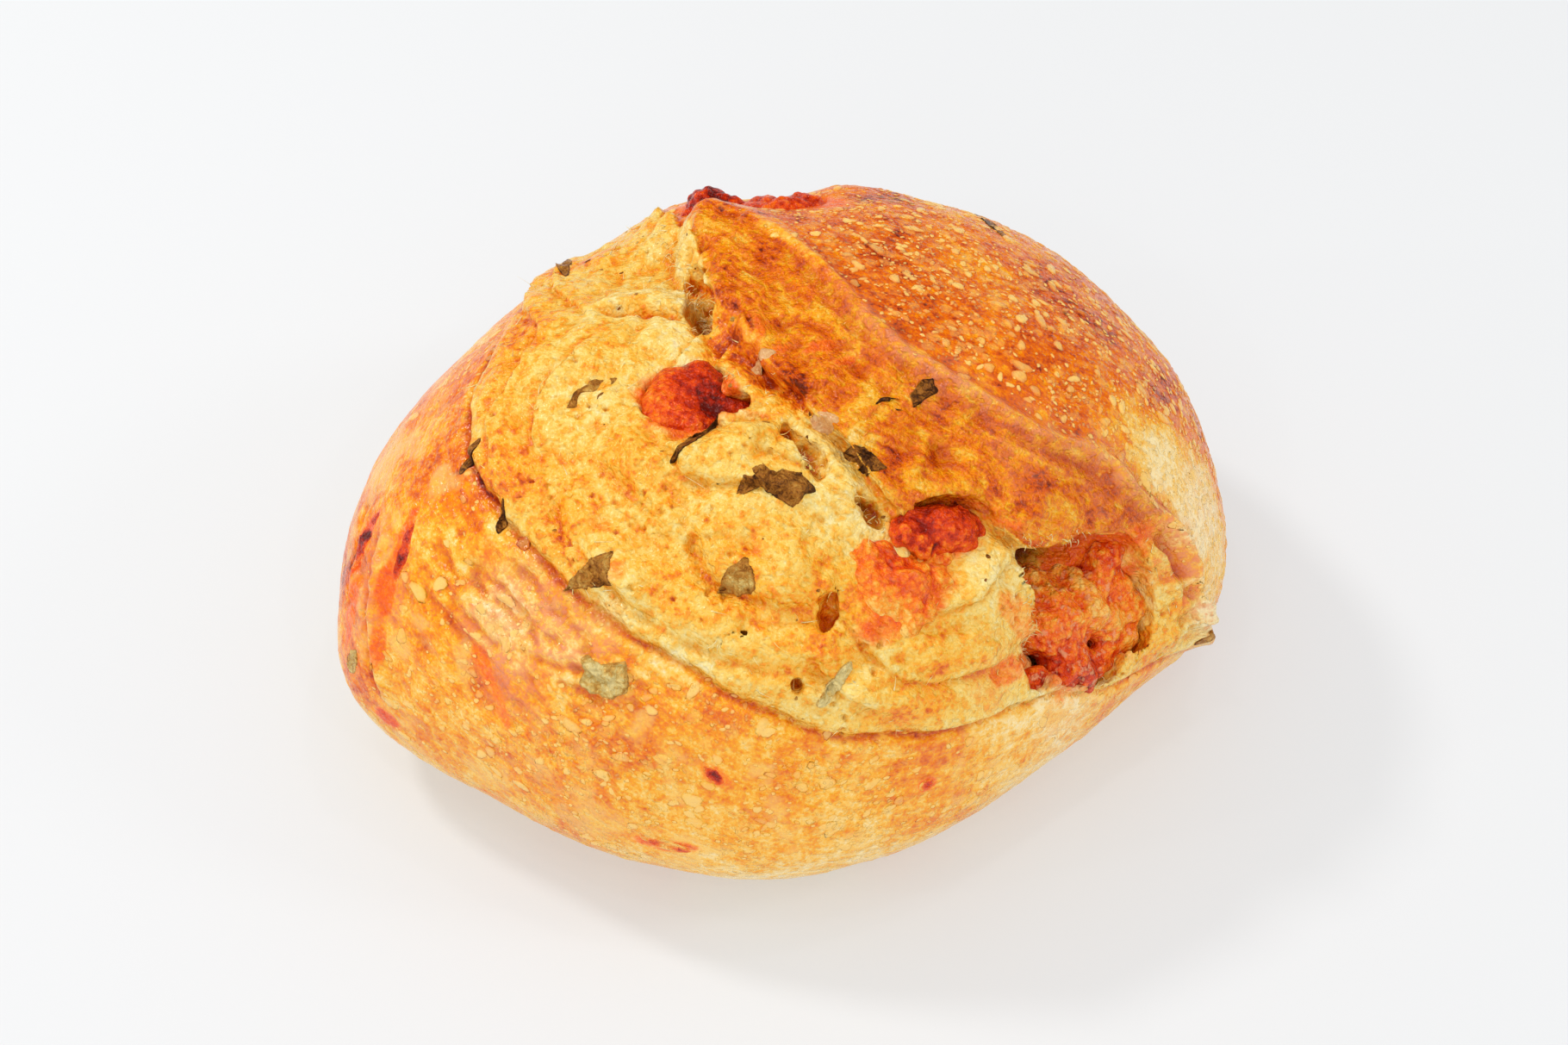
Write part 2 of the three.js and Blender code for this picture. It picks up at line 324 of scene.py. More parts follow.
def region(points, outline):
    """Distance in from the edge of a closed outline, and negative outside it."""
    closed = np.vstack([outline, outline[:1]])
    distance, _, _ = near(points, closed, 25.0)
    place = flat_map(points)
    corners = flat_map(closed)
    inside = np.zeros(len(points), bool)
    x, y = place[:, 0], place[:, 1]
    for (x0, y0), (x1, y1) in zip(corners, corners[1:]):
        if y0 == y1:
            continue
        crosses = (y0 > y) != (y1 > y)
        inside ^= crosses & (x < x0 + (y - y0) * (x1 - x0) / (y1 - y0))
    return np.where(inside, distance, -distance)


def run_of(line):
    return length(np.diff(line, axis=0)).sum()


def fade(along, ends):
    """0 at both ends of a line, 1 between, over a share of its length."""
    return smooth_step(np.minimum(along, 1 - along), 0, ends)


# The raised edge of the crust, from the back of the loaf to its right end.
ear_crest = surface_line(
    (-26, 45, 101), (-16, 39, 105), (-4, 29, 108), (11, 7, 110), (22, -10, 108), (35, -19, 105),
    (55, -26, 96), (68, -25, 88), (80, -27, 77), (92, -28, 60), (96, -30, 44), (103, -24, 24),
)
# The same line gone on down the back, as the border between the browner and the paler crust.
flap_border = np.vstack([
    surface_line((-38, 84, 4), (-44, 88, 36), (-40, 78, 66), (-33, 60, 90)), ear_crest])
# The foot of the score's torn wall: down the torn end of the flap, then under the smooth band.
cliff = surface_line(
    (-30, 48, 98), (-26, 30, 104), (-23, 12, 108), (-18, 0, 109), (-11, -8, 110), (-2, -18, 109),
    (6, -25, 108), (13, -33, 106), (21, -43, 101), (29, -49, 95), (39, -47, 93), (48, -44, 90),
    (56, -45, 83), (64, -42, 79), (72, -37, 76), (79, -34, 72),
)
# The front edge of the bloom, where it lies on the lower crust.
bloom_rim = surface_line(
    (-46, 56, 84), (-62, 44, 82), (-66, 19, 93), (-71, 0, 94), (-74, -21, 93), (-69, -36, 91),
    (-61, -48, 88), (-50, -60, 84), (-38, -71, 81), (-25, -79, 78), (-13, -85, 73), (7, -88, 65),
    (28, -84, 58), (50, -72, 51), (63, -62, 47), (78, -50, 36), (90, -39, 32), (102, -23, 24),
)
# The torn crumb: between the cliff and the rim, round the right end and over the back.
bloom_outline = np.vstack([
    cliff, surface_line((84, -31, 70), (92, -30, 58), (97, -29, 44), (102, -23, 24)),
    bloom_rim[::-1], surface_line((-40, 60, 86), (-30, 58, 92))])
# The smooth band of stretched dough between the ear's crest and the cliff.
band_outline = np.vstack([cliff, surface_line((84, -31, 70), (90, -29, 62)), ear_crest[-24::-1]])


def with_lines(*rows):
    """Rows that start with points, with a line over the dome in place of the points."""
    return [(surface_line(*points), *sizes) for points, *sizes in rows]


# Folds: points, depth, width, and the height and width of the roll that lies on the line's left.
folds = with_lines(
    (((-20, -51, 99), (-21, -59, 96), (-18, -66, 91), (-11, -70, 89), (2, -71, 87), (14, -68, 87)),
     2.6, 2.2, 2.4, 7.0),
    (((-46, 11, 103), (-40, 10, 105), (-34, 9, 107), (-29, 8, 108), (-24, 3, 108)), 3.2, 1.5, 2.4, 5.0),
    (((-53, -40, 95), (-49, -50, 91), (-43, -58, 89), (-37, -66, 86), (-32, -70, 84)),
     1.8, 2.2, 1.6, 6.0),
    (((-12, -75, 84), (-6, -74, 85), (4, -74, 85), (12, -73, 84)), 1.4, 1.8, 1.2, 4.0),
    (((1, -34, 106), (-6, -32, 107), (-14, -33, 106), (-22, -36, 105), (-29, -34, 104),
     (-31, -28, 105)), 2.4, 1.8, 3.0, 6.0),
    (((-48, -56, 88), (-32, -70, 84), (-16, -78, 80), (0, -81, 77), (18, -79, 74)), 1.6, 2.4, 1.6, 6.0),
    (((24, -76, 70), (40, -70, 66), (52, -66, 60)), 1.2, 2.2, 1.4, 6.0),
)
# Pleats in the crust at the left end, in the same way.
pleats = with_lines(
    (((-97, -30, 74), (-98, -40, 64), (-98, -50, 50), (-95, -56, 36)), 1.2, 1.8, 1.8, 3.0),
    (((-101, -18, 68), (-103, -28, 60), (-104, -38, 48)), 2.0, 2.4, 1.2, 3.0),
)

# Lumps and hollows: place, rise and width.
SWELLINGS = (
    ((-26, 60, 92), 1.0, 9), ((13, 66, 96), 1.6, 8), ((22, 67, 93), 0.8, 9), ((-4, 57, 100), -4.0, 11),
    ((-34, 26, 104), -2.0, 14), ((-22, -22, 107), -4.0, 9), ((-9, -19, 109), 2.5, 6),
    ((-34, -34, 103), 1.5, 12), ((-6, -46, 104), 3.0, 13), ((36, -54, 88), -3.0, 7),
    ((58, -38, 85), 2.0, 9), ((22, -78, 72), 2.0, 14), ((-48, -8, 103), 2.0, 13),
    ((91, 30, 68), 2.0, 20), ((-104, -44, 34), 1.5, 12), ((44, -60, 78), 2.5, 9),
    ((6, -20, 109), 1.5, 8), ((2, -62, 94), 2.0, 9), ((13, -46, 101), 1.6, 7),
)

# Where the crust is wrinkled: place and size.
WRINKLED = (
    ((-58, -64, 75), 17), ((-44, -75, 71), 12), ((-72, -52, 76), 12), ((-99, -38, 58), 12),
)

# Where the stretched dough is gathered in ridges: place and size.
LUMPY = (
    ((-8, -8, 110), 13), ((4, -17, 109), 12), ((17, -30, 106), 10), ((32, -40, 100), 9),
)

# Thin raised edges of torn layers: points, rise and width.
layer_edges = with_lines(
    (((84, -27, 74), (90, -26, 66), (94.5, -27, 56), (97, -29, 46), (97, -32, 36)), 2.2, 0.9),
    (((86, -29, 70), (91, -28.5, 62), (94, -29.5, 53), (95, -32, 43), (93, -36, 37)), -3.0, 1.5),
    (((85, -32, 67), (89, -32, 60), (92, -33, 51), (92, -36, 42)), 1.8, 0.9),
    (((53, -49, 81), (56, -53, 75), (59, -57, 67), (61, -60, 58)), 1.4, 1.4),
    (((12, -62, 93), (10, -66, 91), (8, -71, 88), (8, -77, 82)), 1.2, 1.0),
    (((-46, 14, 103), (-39, 12, 105), (-32, 11, 107), (-25, 6, 108)), 1.6, 1.4),
    (((-31, -20, 106), (-33, -27, 105), (-30, -33, 104), (-24, -35, 105)), 1.2, 1.2),
    (((-12, -50, 101), (-20, -55, 98), (-22, -63, 93), (-16, -70, 89)), 1.0, 1.2),
)


# ---------- relief over the dome ----------

def rounds(points, table):
    """Soft round spots added up: each row is a place and a size."""
    return sum(bell(length(points - np.array(place)), size) for place, size in table)


def fold_relief(points, line, depth, width, roll, roll_width):
    _, across, along = near(points, line, 16)
    groove = -depth * bell(across, width)
    bulge = roll * np.where(across > 0, bell(across - roll_width, roll_width * 0.8), 0)
    return (groove + bulge) * fade(along, 0.2)


def torn_layers(points, across, wander):
    """Sheets of crumb that overlap in arcs along the bloom's rim."""
    phase = across / 13 + 1.2 * noise(points, 34, 47) + 0.12 * wander[:, 0]
    part = phase - np.floor(phase)
    strong = smooth_step(noise(points, 20, 48), -0.45, 0.15)
    return 2.3 * strong * (1 - part) * smooth_step(part, 0, 0.09)


def relief(points):
    """Height of the loaf's surface over the dome, and how far it is torn crumb and smooth band."""
    wander = shaking(points, 9, (11, 21, 31))
    jag = points + 1.5 * wander
    _, ear_across, ear_along = near(points, ear_crest, 90)
    width = np.where(ear_across > 0, EAR_BACK, EAR_FACE)
    height = EAR_RISE * ridge(ear_across, width, 1.4) * smooth_step(ear_along, 0, 0.08)
    crest = ear_across - 1.5 * wander[:, 0]
    height += (1.4 * bell(crest, 1.5) - 0.9 * bell(crest + 3.4, 1.8)) * smooth_step(ear_along, 0.16, 0.28)

    crumb = smooth_step(region(jag, bloom_outline), -0.5, 0.5)
    band = smooth_step(region(jag, band_outline), -2.0, 2.0)
    _, cliff_across, cliff_along = near(jag + 0.8 * wander[:, ::-1], cliff, 60)
    torn_end = smooth_step(cliff_along, 0.36, 0.22)
    rise = (CLIFF_RISE + (TORN_END_RISE - CLIFF_RISE) * torn_end) * fade(cliff_along, 0.05)
    step = np.tanh((cliff_across - 3.5 * torn_end) / (1.2 + 1.2 * torn_end))
    crumb = np.maximum(crumb, torn_end * smooth_step(cliff_across, 5.0, 4.0) * (cliff_across > -1))
    band = band * (1 - crumb)
    reach_back = np.where(cliff_across > 0, 14.0, 20.0)
    height += 0.5 * rise * step * bell(cliff_across, reach_back)
    height -= 2.4 * bell(cliff_across + 2.5, 2.4) * fade(cliff_along, 0.1) * (1 - 0.6 * torn_end)

    _, rim_across, rim_along = near(jag, bloom_rim, 40)
    rim_fade = fade(rim_along, 0.08)
    height -= 1.7 * bell(rim_across, 1.4) * rim_fade
    height += 2.2 * np.where(rim_across > 0, bell(rim_across - 8, 7), 0) * rim_fade
    height += 1.2 * np.where(rim_across < 0, np.exp(rim_across / 4), 0) * rim_fade

    for fold in folds:
        height += fold_relief(points + 0.9 * wander, *fold)
    for pleat in pleats:
        height += fold_relief(points, *pleat)
    for line, lift, spread in layer_edges:
        _, across, along = near(points + 1.0 * wander, line, 12)
        height += lift * bell(across, spread) * fade(along, 0.2)
    for place, lift, spread in SWELLINGS:
        height += lift * bell(length(points - np.array(place)), spread)
    flow = np.stack([rim_along * 22, rim_across / 6.0, np.zeros(len(points))], -1)
    flow += 0.10 * wander
    furrows = 1 - 2.4 * np.abs(rough(flow, 1.0, 45, 2))
    lumps = np.abs(rough(jag, 9, 51, 3)) - 0.25
    height += crumb * (1.2 * rough(points, 20, 41, 2) + 1.1 * lumps + 0.7 * furrows
                       + torn_layers(points, rim_across, wander))
    ragged = torn_end * bell(cliff_across - 3, 6)
    height += ragged * (1.5 * rough(jag, 3.4, 53, 2) - 0.6)
    height += band * (1.0 * rough(jag, 7, 56, 3) + 1.1 * rough(points, 14, 58, 2))
    lumpy = rounds(points, LUMPY)
    height += np.maximum(band, lumpy * 0.5) * lumpy * 1.5 * (0.7 - 2.4 * np.abs(rough(jag, 9, 59, 3)))
    height += (1 - crumb) * (0.9 * rough(points, 26, 61, 2) + 0.20 * rough(points, 6, 71, 2))
    wrinkles = np.stack([rim_along * run_of(bloom_rim) / 13, rim_across / 4.6, np.zeros(len(points))], -1)
    wrinkles = 1 - 2.6 * np.abs(rough(wrinkles + 0.22 * wander, 1.0, 65, 3))
    wrinkled = rounds(points, WRINKLED)
    height += (1 - crumb) * (1 - band) * (rim_across < 30) * (0.12 + 0.85 * wrinkled) * wrinkles
    return height * smooth_step(points[:, 2], 2, 12), crumb, band


# ---------- maps of the dome by direction ----------

MAP_SPAN = 2.05


class DomeMap:
    """What the surface does in each direction from the centre, laid out on a square round the top."""

    def __init__(self):
        side = np.linspace(-MAP_SPAN, MAP_SPAN, MAP_SIZE)
        a, b = np.meshgrid(side, side, indexing="ij")
        angle = np.hypot(a, b)
        sine = np.sinc(angle / np.pi)
        directions = np.stack([a * sine, b * sine, np.cos(angle)], -1)
        reach = dome_reach(directions)
        spots = CENTRE + directions * reach[..., None]
        normal = unit(np.cross(np.gradient(spots, axis=0), np.gradient(spots, axis=1)))
        slant = dot(normal, directions)
        flat = spots.reshape(-1, 3)
        lift, _, _ = relief(flat)
        columns = [reach.ravel(), slant.ravel(), lift, *self.lean(flat).T]
        self.layers = np.stack(columns, -1).astype(np.float32).reshape(MAP_SIZE, MAP_SIZE, -1)

    @staticmethod
    def lean(points):
        """How far, per millimetre of height, the surface leans out over what lies below the cliff."""
        _, across, along = near(points, cliff, 30)
        step = np.gradient(cliff, axis=0)
        nearest = np.clip((along * (len(cliff) - 1)).astype(int), 0, len(cliff) - 1)
        run = step[nearest]
        out = points - CENTRE
        sideways = np.cross(run, out)
        sideways /= length(sideways)[:, None] + TINY
        strength = 0.8 * bell(across - 1, 7) * fade(along, 0.1) * smooth_step(along, 0.22, 0.36)
        return sideways * strength[:, None]

    def look_up(self, points):
        place = (flat_map(points) + MAP_SPAN) / (2 * MAP_SPAN) * (MAP_SIZE - 1)
        place = np.clip(place, 0, MAP_SIZE - 1.001)
        corner = place.astype(np.int32)
        t = (place - corner).astype(np.float32)
        i, j = corner[..., 0], corner[..., 1]
        u, v = t[..., :1], t[..., 1:]
        low = self.layers[i, j] * (1 - u) + self.layers[i + 1, j] * u
        high = self.layers[i, j + 1] * (1 - u) + self.layers[i + 1, j + 1] * u
        return low * (1 - v) + high * v

    @staticmethod
    def over(points, found):
        """How far points lie over the smooth dome."""
        return (length(points - CENTRE) - found[..., 0]) * found[..., 1]

    @staticmethod
    def straightened(points, found, over):
        """Points moved back along the lean, to over where they belong on the dome."""
        return points - found[..., 3:] * np.clip(over + 2.0, 0, 12)[..., None]

    def field(self, points):
        """Signed distance to the loaf's surface, about true close to it."""
        found = self.look_up(points)
        over = self.over(points, found)
        leaning = np.abs(found[..., 3:]).sum(-1) > 0.02
        value = over - found[..., 2]
        close = leaning & (np.abs(over) < 14)
        if close.any():
            moved = self.straightened(points[close], found[close], over[close])
            again = self.look_up(moved)
            value[close] = self.over(moved, again) - again[..., 2]
        return value

    def feet(self, points):
        """Where on the dome each point of the finished surface belongs, and its height over that."""
        found = self.look_up(points)
        moved = self.straightened(points, found, self.over(points, found))
        found = self.look_up(moved)
        return CENTRE + unit(moved - CENTRE) * found[..., :1], self.over(moved, found)


# ---------- carving ----------

def turned(points, place, turn, tilt):
    """Points in the axes of a thing that stands at place, turned about up and then tilted."""
    c, s = math.cos(turn), math.sin(turn)
    about_up = np.array([[c, s, 0], [-s, c, 0], [0, 0, 1]])
    c, s = math.cos(tilt), math.sin(tilt)
    about_side = np.array([[1, 0, 0], [0, c, s], [0, -s, c]])
    return (points - np.array(place)) @ (about_side @ about_up).T


def smooth_max(a, b, blend):
    h = np.clip(0.5 + 0.5 * (a - b) / blend, 0, 1)
    return b * (1 - h) + a * h + blend * h * (1 - h)


# Hollows: middle, half sizes along X, Y and Z, turn and tilt in degrees, roughness.
HOLLOWS = (
    ((70, -48, 58), (17, 15, 20), 25, 0, 2.4), ((62, -45, 73), (12, 9, 8), 10, 0, 1.6),
    ((76, -37, 66), (9, 7, 7), 0, 0, 1.4), ((59, -62, 57), (5, 7, 8), 20, 0, 2.2),
    ((82, -40, 54), (7.5, 8, 15), 25, 0, 1.8), ((64, -37, 69), (12, 8, 7), 10, 0, 1.4),
    ((-4, 55, 99), (15, 9, 8), 5, 0, 1.4), ((-23, -23, 107), (10.5, 11, 7.5), 10, 0, 1.4),
    ((-12, -26, 104), (6.5, 4.5, 4.5), 10, 0, 1.2), ((37, -48, 91), (12, 5, 6), 8, 0, 0.8),
    ((-20, 12, 105), (3.6, 11, 6), 12, 0, 1.8), ((7, -41, 105), (3.2, 9.5, 5.5), 38, 0, 1.8),
    ((21, -51, 97), (3.2, 8.0, 5.5), 52, 0, 1.8), ((9, -73, 85), (2.2, 6.5, 4.5), -20, 0, 1.6),
    ((-10, -77, 82), (4, 1.6, 3), 8, 0, 0.8),
)
# Pits in the crumb: place and radius.
PITS = (
    ((2, -35, 106), 2.4), ((-9, -79, 81), 1.3), ((3, -83, 74), 1.6), ((84, -35, 62), 1.8),
    ((77, -46, 58), 1.2),
)


def carve(field, points):
    for middle, half, turn, tilt, ragged in HOLLOWS:
        box = np.max(half) + 6
        close = (np.abs(points - np.array(middle)) < box).all(1)
        p = points[close]
        local = turned(p, middle, math.radians(turn), math.radians(tilt)) / np.array(half)
        ball = (length(local) - 1) * np.min(half)
        ball += ragged * (rough(p, 7, 81, 3) + 0.5 * rough(p, 2.5, 85, 2))
        field[close] = smooth_max(field[close], -ball, 1.0)
    for place, radius in PITS:
        middle = on_dome(np.array([place], float))[0]
        close = (np.abs(points - middle) < radius + 7).all(1)
        p = points[close]
        away = p - middle
        outward = unit(middle - CENTRE)
        depth = away @ outward
        squashed = away - outward * (depth * 0.45)[:, None]
        ball = length(squashed) - radius + 1.1 * radius * rough(p, 3.0, 91, 3)
        field[close] = smooth_max(field[close], -ball, 0.6)
    return field


# ---------- meshing ----------

def spaced(low, high, fine, coarse, fine_from, fine_to):
    """Grid lines from low to high, fine between two places and growing coarse away from them."""
    lines = [low]
    while lines[-1] < high:
        gap = max(fine_from - lines[-1], lines[-1] - fine_to, 0)
        lines.append(lines[-1] + fine + (coarse - fine) * min(gap / 60, 1))
    return np.array(lines)


def surface_net(field, xs, ys, zs):
    """Vertices and quads of the surface where a field on a grid passes from under 0 to over 0."""
    inside = field < 0
    shape = np.array(field.shape) - 1
    count = np.zeros(shape, np.int8)
    for dx in (0, 1):
        for dy in (0, 1):
            for dz in (0, 1):
                count += inside[dx:dx + shape[0], dy:dy + shape[1], dz:dz + shape[2]]
    i, j, k = np.nonzero((count > 0) & (count < 8))
    number = np.full(shape, -1, np.int32)
    number[i, j, k] = np.arange(len(i))
    total = np.zeros((len(i), 3))
    crossings = np.zeros(len(i))
    lines = (xs, ys, zs)
    steps = np.eye(3, dtype=int)
    for axis in range(3):
        side_a, side_b = steps[(axis + 1) % 3], steps[(axis + 2) % 3]
        for a in (0, 1):
            for b in (0, 1):
                shift = a * side_a + b * side_b
                start = (i + shift[0], j + shift[1], k + shift[2])
                end = tuple(s + d for s, d in zip(start, steps[axis]))
                f0, f1 = field[start], field[end]
                crosses = (f0 < 0) != (f1 < 0)
                t = np.where(crosses, f0 / np.where(crosses, f0 - f1, 1), 0)
                for n in range(3):
                    place = lines[n][start[n]]
                    if n == axis:
                        place = place + t * (lines[n][end[n]] - place)
                    total[:, n] += np.where(crosses, place, 0)
                crossings += crosses
    vertices = total / crossings[:, None]
    quads = []
    for axis in range(3):
        side_a, side_b = steps[(axis + 1) % 3], steps[(axis + 2) % 3]
        low = [slice(1, -1)] * 3
        low[axis] = slice(0, -1)
        high = list(low)
        high[axis] = slice(1, None)
        starts_inside = inside[tuple(low)]
        changes = np.nonzero(starts_inside != inside[tuple(high)])
        base = [c + (0 if n == axis else 1) for n, c in enumerate(changes)]
        cells = []
        for a, b in ((1, 1), (0, 1), (0, 0), (1, 0)):
            shift = a * side_a + b * side_b
            cells.append(number[tuple(c - s for c, s in zip(base, shift))])
        face = np.stack(cells, 1)
        out = starts_inside[changes]
        quads.append(np.where(out[:, None], face, face[:, ::-1]))
    return vertices, np.vstack(quads)


def mesh_object(name, vertices_mm, faces, hidden=None):
    """A smooth-shaded mesh. Faces that are hidden don't bend the shading of the rest."""
    mesh = bpy.data.meshes.new(name)
    mesh.vertices.add(len(vertices_mm))
    mesh.vertices.foreach_set("co", (np.asarray(vertices_mm) * MM).astype(np.float32).ravel())
    faces = np.asarray(faces, np.int32)
    sides = faces.shape[1]
    mesh.loops.add(faces.size)
    mesh.loops.foreach_set("vertex_index", faces.ravel())
    mesh.polygons.add(len(faces))
    mesh.polygons.foreach_set("loop_start", np.arange(0, faces.size, sides, dtype=np.int32))
    mesh.update(calc_edges=True)
    mesh.shade_smooth()
    if hidden is not None:
        mesh.polygons.foreach_set("use_smooth", ~hidden)
    mesh.validate()
    thing = bpy.data.objects.new(name, mesh)
    bpy.context.scene.collection.objects.link(thing)
    return thing


def read(items, key, width, kind):
    """One property of every item of a mesh, as rows of so many values."""
    values = np.empty(len(items) * width, kind)
    items.foreach_get(key, values)
    return values.reshape(-1, width)


def vertices_of(thing):
    return read(thing.data.vertices, "co", 3, np.float32).astype(float) / MM


def normals_of(thing):
    return read(thing.data.vertex_normals, "vector", 3, np.float32).astype(float)


def set_vertices(thing, points_mm):
    thing.data.vertices.foreach_set("co", (points_mm * MM).astype(np.float32).ravel())
    thing.data.update()


def set_value(thing, name, values):
    values = np.asarray(values, np.float32)
    kind, key = ("FLOAT", "value") if values.ndim == 1 else ("FLOAT_VECTOR", "vector")
    thing.data.attributes.new(name, kind, "POINT").data.foreach_set(key, values.ravel())


# ---------- browning and painted shade ---

# Places where the loaf is browner (over 0) or paler: place, radius, amount.
TOASTED = (
    ((-49, -43, 95), 14, 0.08), ((-59, -31, 97), 11, 0.1), ((-41, -57, 90), 12, 0.08),
    ((-2, -14, 110), 11, 0.16), ((-12, -4, 110), 8, 0.14), ((8, -20, 109), 9, 0.14),
    ((-6, -71, 88), 7, 0.12), ((6, -72, 86), 8, 0.16), ((17, -68, 86), 6, 0.14),
    ((35, -74, 69), 4, 0.12), ((10, -77, 80), 6, 0.1), ((-18, -77, 81), 9, -0.1),
    ((36, -74, 63), 12, -0.08), ((-55, 30, 95), 22, 0.08), ((-66, 0, 96), 12, 0.12),
    ((-36, 9, 107), 4, 0.24), ((-61, -37, 94), 10, 0.1), ((-33, -88, 60), 12, 0.14),
    ((-73, -36, 89), 12, 0.18), ((-82, -26, 84), 12, 0.1), ((-66, -69, 60), 9, 0.16),
    ((-2, 23, 109), 26, 0.04), ((-16, 20, 108), 12, 0.03), ((20, 60, 97), 16, 0.1),
    ((-98, -40, 60), 14, 0.12), ((60, 20, 98), 30, 0.04), ((-48, 25, 99), 20, -0.04),
    ((-35, 27, 103), 12, -0.04), ((-43, 5, 105), 12, -0.04), ((-35, -68, 85), 8, -0.1),
    ((-10, -40, 105), 12, -0.06), ((-18, -45, 103), 9, -0.05), ((46, -56, 81), 9, -0.1),
    ((13, -84, 69), 9, -0.12), ((15, -50, 98), 11, -0.06), ((19, -37, 103), 7, -0.08),
    ((-26, -8, 108), 9, -0.06), ((-28, -50, 98), 18, -0.07), ((-8, -52, 100), 16, -0.05),
    ((-22, 16, 108), 10, -0.1), ((-21, 34, 105), 8, -0.12), ((-30, -80, 72), 14, -0.1),
    ((40, -80, 60), 12, -0.06), ((-14, -9, 109), 8, 0.34), ((-6, -17, 109), 7, 0.34),
    ((-17, 3, 109), 7, 0.22), ((4, -24, 108), 6, 0.26), ((25, -50, 96), 6, 0.14),
    ((92, -30, 57), 5, 0.34), ((94, -32, 47), 5, 0.34), ((-104, -34, 48), 13, 0.14),
    ((-104, -34, 72), 8, 0.1), ((36, -80, 62), 14, 0.06), ((104, -18, 48), 24, -0.46),
    ((95, -14, 70), 20, -0.52), ((86, -16, 82), 14, -0.38), ((-106, -22, 56), 18, 0.22),
    ((-98, -48, 40), 12, 0.18), ((-62, -60, 74), 9, -0.2), ((-47, -70, 76), 8, -0.16),
    ((-70, -56, 72), 6, -0.16), ((-44, 40, 93), 12, 0.1), ((-58, 6, 98), 11, 0.1),
    ((-50, 18, 100), 8, 0.08), ((73, -20, 88), 9, -0.2), ((60, -62, 38), 26, -0.28),
    ((0, -98, 22), 40, -0.14),
)
# Painted shadow inside the tears, under the lips that overhang them, in the same way.
PAINTED_SHADOW_SPOTS = (
    ((60, -44, 80), 11, 0.95), ((70, -40, 77), 8, 0.9), ((52, -50, 80), 6, 0.9),
    ((-12, -26, 108), 8, 0.4), ((6, -40, 105), 9, 0.5), ((20, -51, 98), 8, 0.6),
    ((-20, 12, 109), 8, 0.35), ((36, -46, 92), 8, 0.7),
)
# Pinkish places, partly the crust's own pink colour and partly painted sheen, in the same way.
PINK_AND_PAINTED_SHEEN = (
    ((-61, -62, 74), 17, 0.9), ((-46, -71, 76), 13, 0.8), ((54, -27, 96), 12, 0.4),
    ((35, -20, 105), 9, 0.4), ((20, -10, 109), 9, 0.2), ((72, -26, 86), 12, 0.4),
    ((84, -27, 74), 11, 0.4), ((-88, 6, 80), 22, 0.5), ((-62, -70, 62), 10, 0.5),
    ((-98, -40, 62), 16, 0.8), ((92, -28, 60), 10, 0.5), ((70, -62, 36), 14, 0.4),
    ((100, -10, 62), 14, 0.35), ((45, -70, 62), 8, 0.3),
)
# Places stained red by cheese under the skin: place, half length, half width, turn, strength.
STAINS = (
    ((-89, -38, 76), 10, 2.8, -63, 0.62), ((-94, -46, 66), 8, 2.8, -66, 0.62),
    ((-103, -31, 64), 13, 3.0, -75, 0.72), ((-96, -53, 54), 7, 2.6, -70, 0.55),
    ((-68, -67, 62), 7, 2.6, -40, 0.55), ((-65, -73, 55), 8, 2.6, -60, 0.45),
    ((-16, -94, 55), 5, 3.0, -30, 0.5), ((33, -86, 42), 3, 2.5, 0, 0.6),
    ((-28, -96, 32), 10, 2.4, 0, 0.6), ((-95, -57, 33), 5, 3.0, 0, 0.7),
    ((-104, -40, 52), 12, 3.4, -80, 0.6), ((-67, -50, 84), 5, 2.0, -35, 0.4),
    ((9, -12, 110), 4, 1.5, -30, 0.6), ((14, -16, 109), 3, 1.5, -20, 0.6),
    ((2, -12, 110), 2.6, 1.4, 20, 0.5), ((-36, -62, 89), 4, 3.0, 20, 0.4),
    ((-40, -51, 93), 4, 2.0, 0, 0.4), ((54, -59, 70), 10, 5, -62, 0.42),
    ((50, -67, 62), 7, 3.6, -20, 0.5), ((50, -43, 88), 6, 2.4, -25, 0.5),
    ((44, -42, 92), 4, 1.6, -20, 0.5), ((30, -36, 102), 4, 1.4, -35, 0.45),
    ((-4, -6, 110), 5, 1.6, -40, 0.5), ((0, 10, 110), 3, 1.4, 0, 0.3),
    ((-10, -30, 107), 7, 1.6, 10, 0.4),
)
# Cheese that the crumb round it is soaked by: middle, size, and how far the stain reaches.
SOAKING = (
    ((72, -47, 60), (34, 40, 26), 9), ((-22, -24, 107), (22, 18, 12), 4), ((36, -52, 90), (24, 10, 9), 3),
    ((26, -67, 84), (32, 25, 7), 3), ((-20, 56, 97), (13, 13, 13), 5), ((3, 53, 100), (26, 15, 13), 4),
)


def patches(points, jag, places):
    """Soft-edged blots added up; jag is the same points shaken, so that the edges are ragged."""
    total = np.zeros(len(points))
    for place, radius, amount in places:
        total += amount * smooth_step(length(jag - on_dome([place])), radius * 1.15, radius * 0.35)
    return total


def stains(jag):
    total = np.zeros(len(jag))
    for place, long, wide, turn, strength in STAINS:
        middle = on_dome([place])[0]
        _, first, second = tangent_frame(middle, turn)
        away = jag - middle
        reach = np.hypot(away @ first / long, away @ second / wide)
        deep = np.abs(away @ (middle - CENTRE)) / length(middle - CENTRE)
        total = np.maximum(total, strength * smooth_step(reach, 1.3, 0.6) * (deep < 12))
    return total


def tangent_frame(middle, turn_degrees):
    """Unit vectors outward, along and across at a place.

    Along starts level and is turned about outward; it keeps to +X instead where no turn is given.
    """
    outward = unit(middle - CENTRE)
    if turn_degrees is None:
        first = unit(np.array([1.0, 0, 0]) - outward * outward[0])
        return outward, first, np.cross(outward, first)
    level = np.cross((0, 0, 1), outward)
    level = level / length(level) if length(level) > 0.05 else np.array([1.0, 0, 0])
    if level[0] < 0:
        level = -level
    other = np.cross(outward, level)
    turn = math.radians(turn_degrees)
    first = level * math.cos(turn) + other * math.sin(turn)
    return outward, first, np.cross(outward, first)


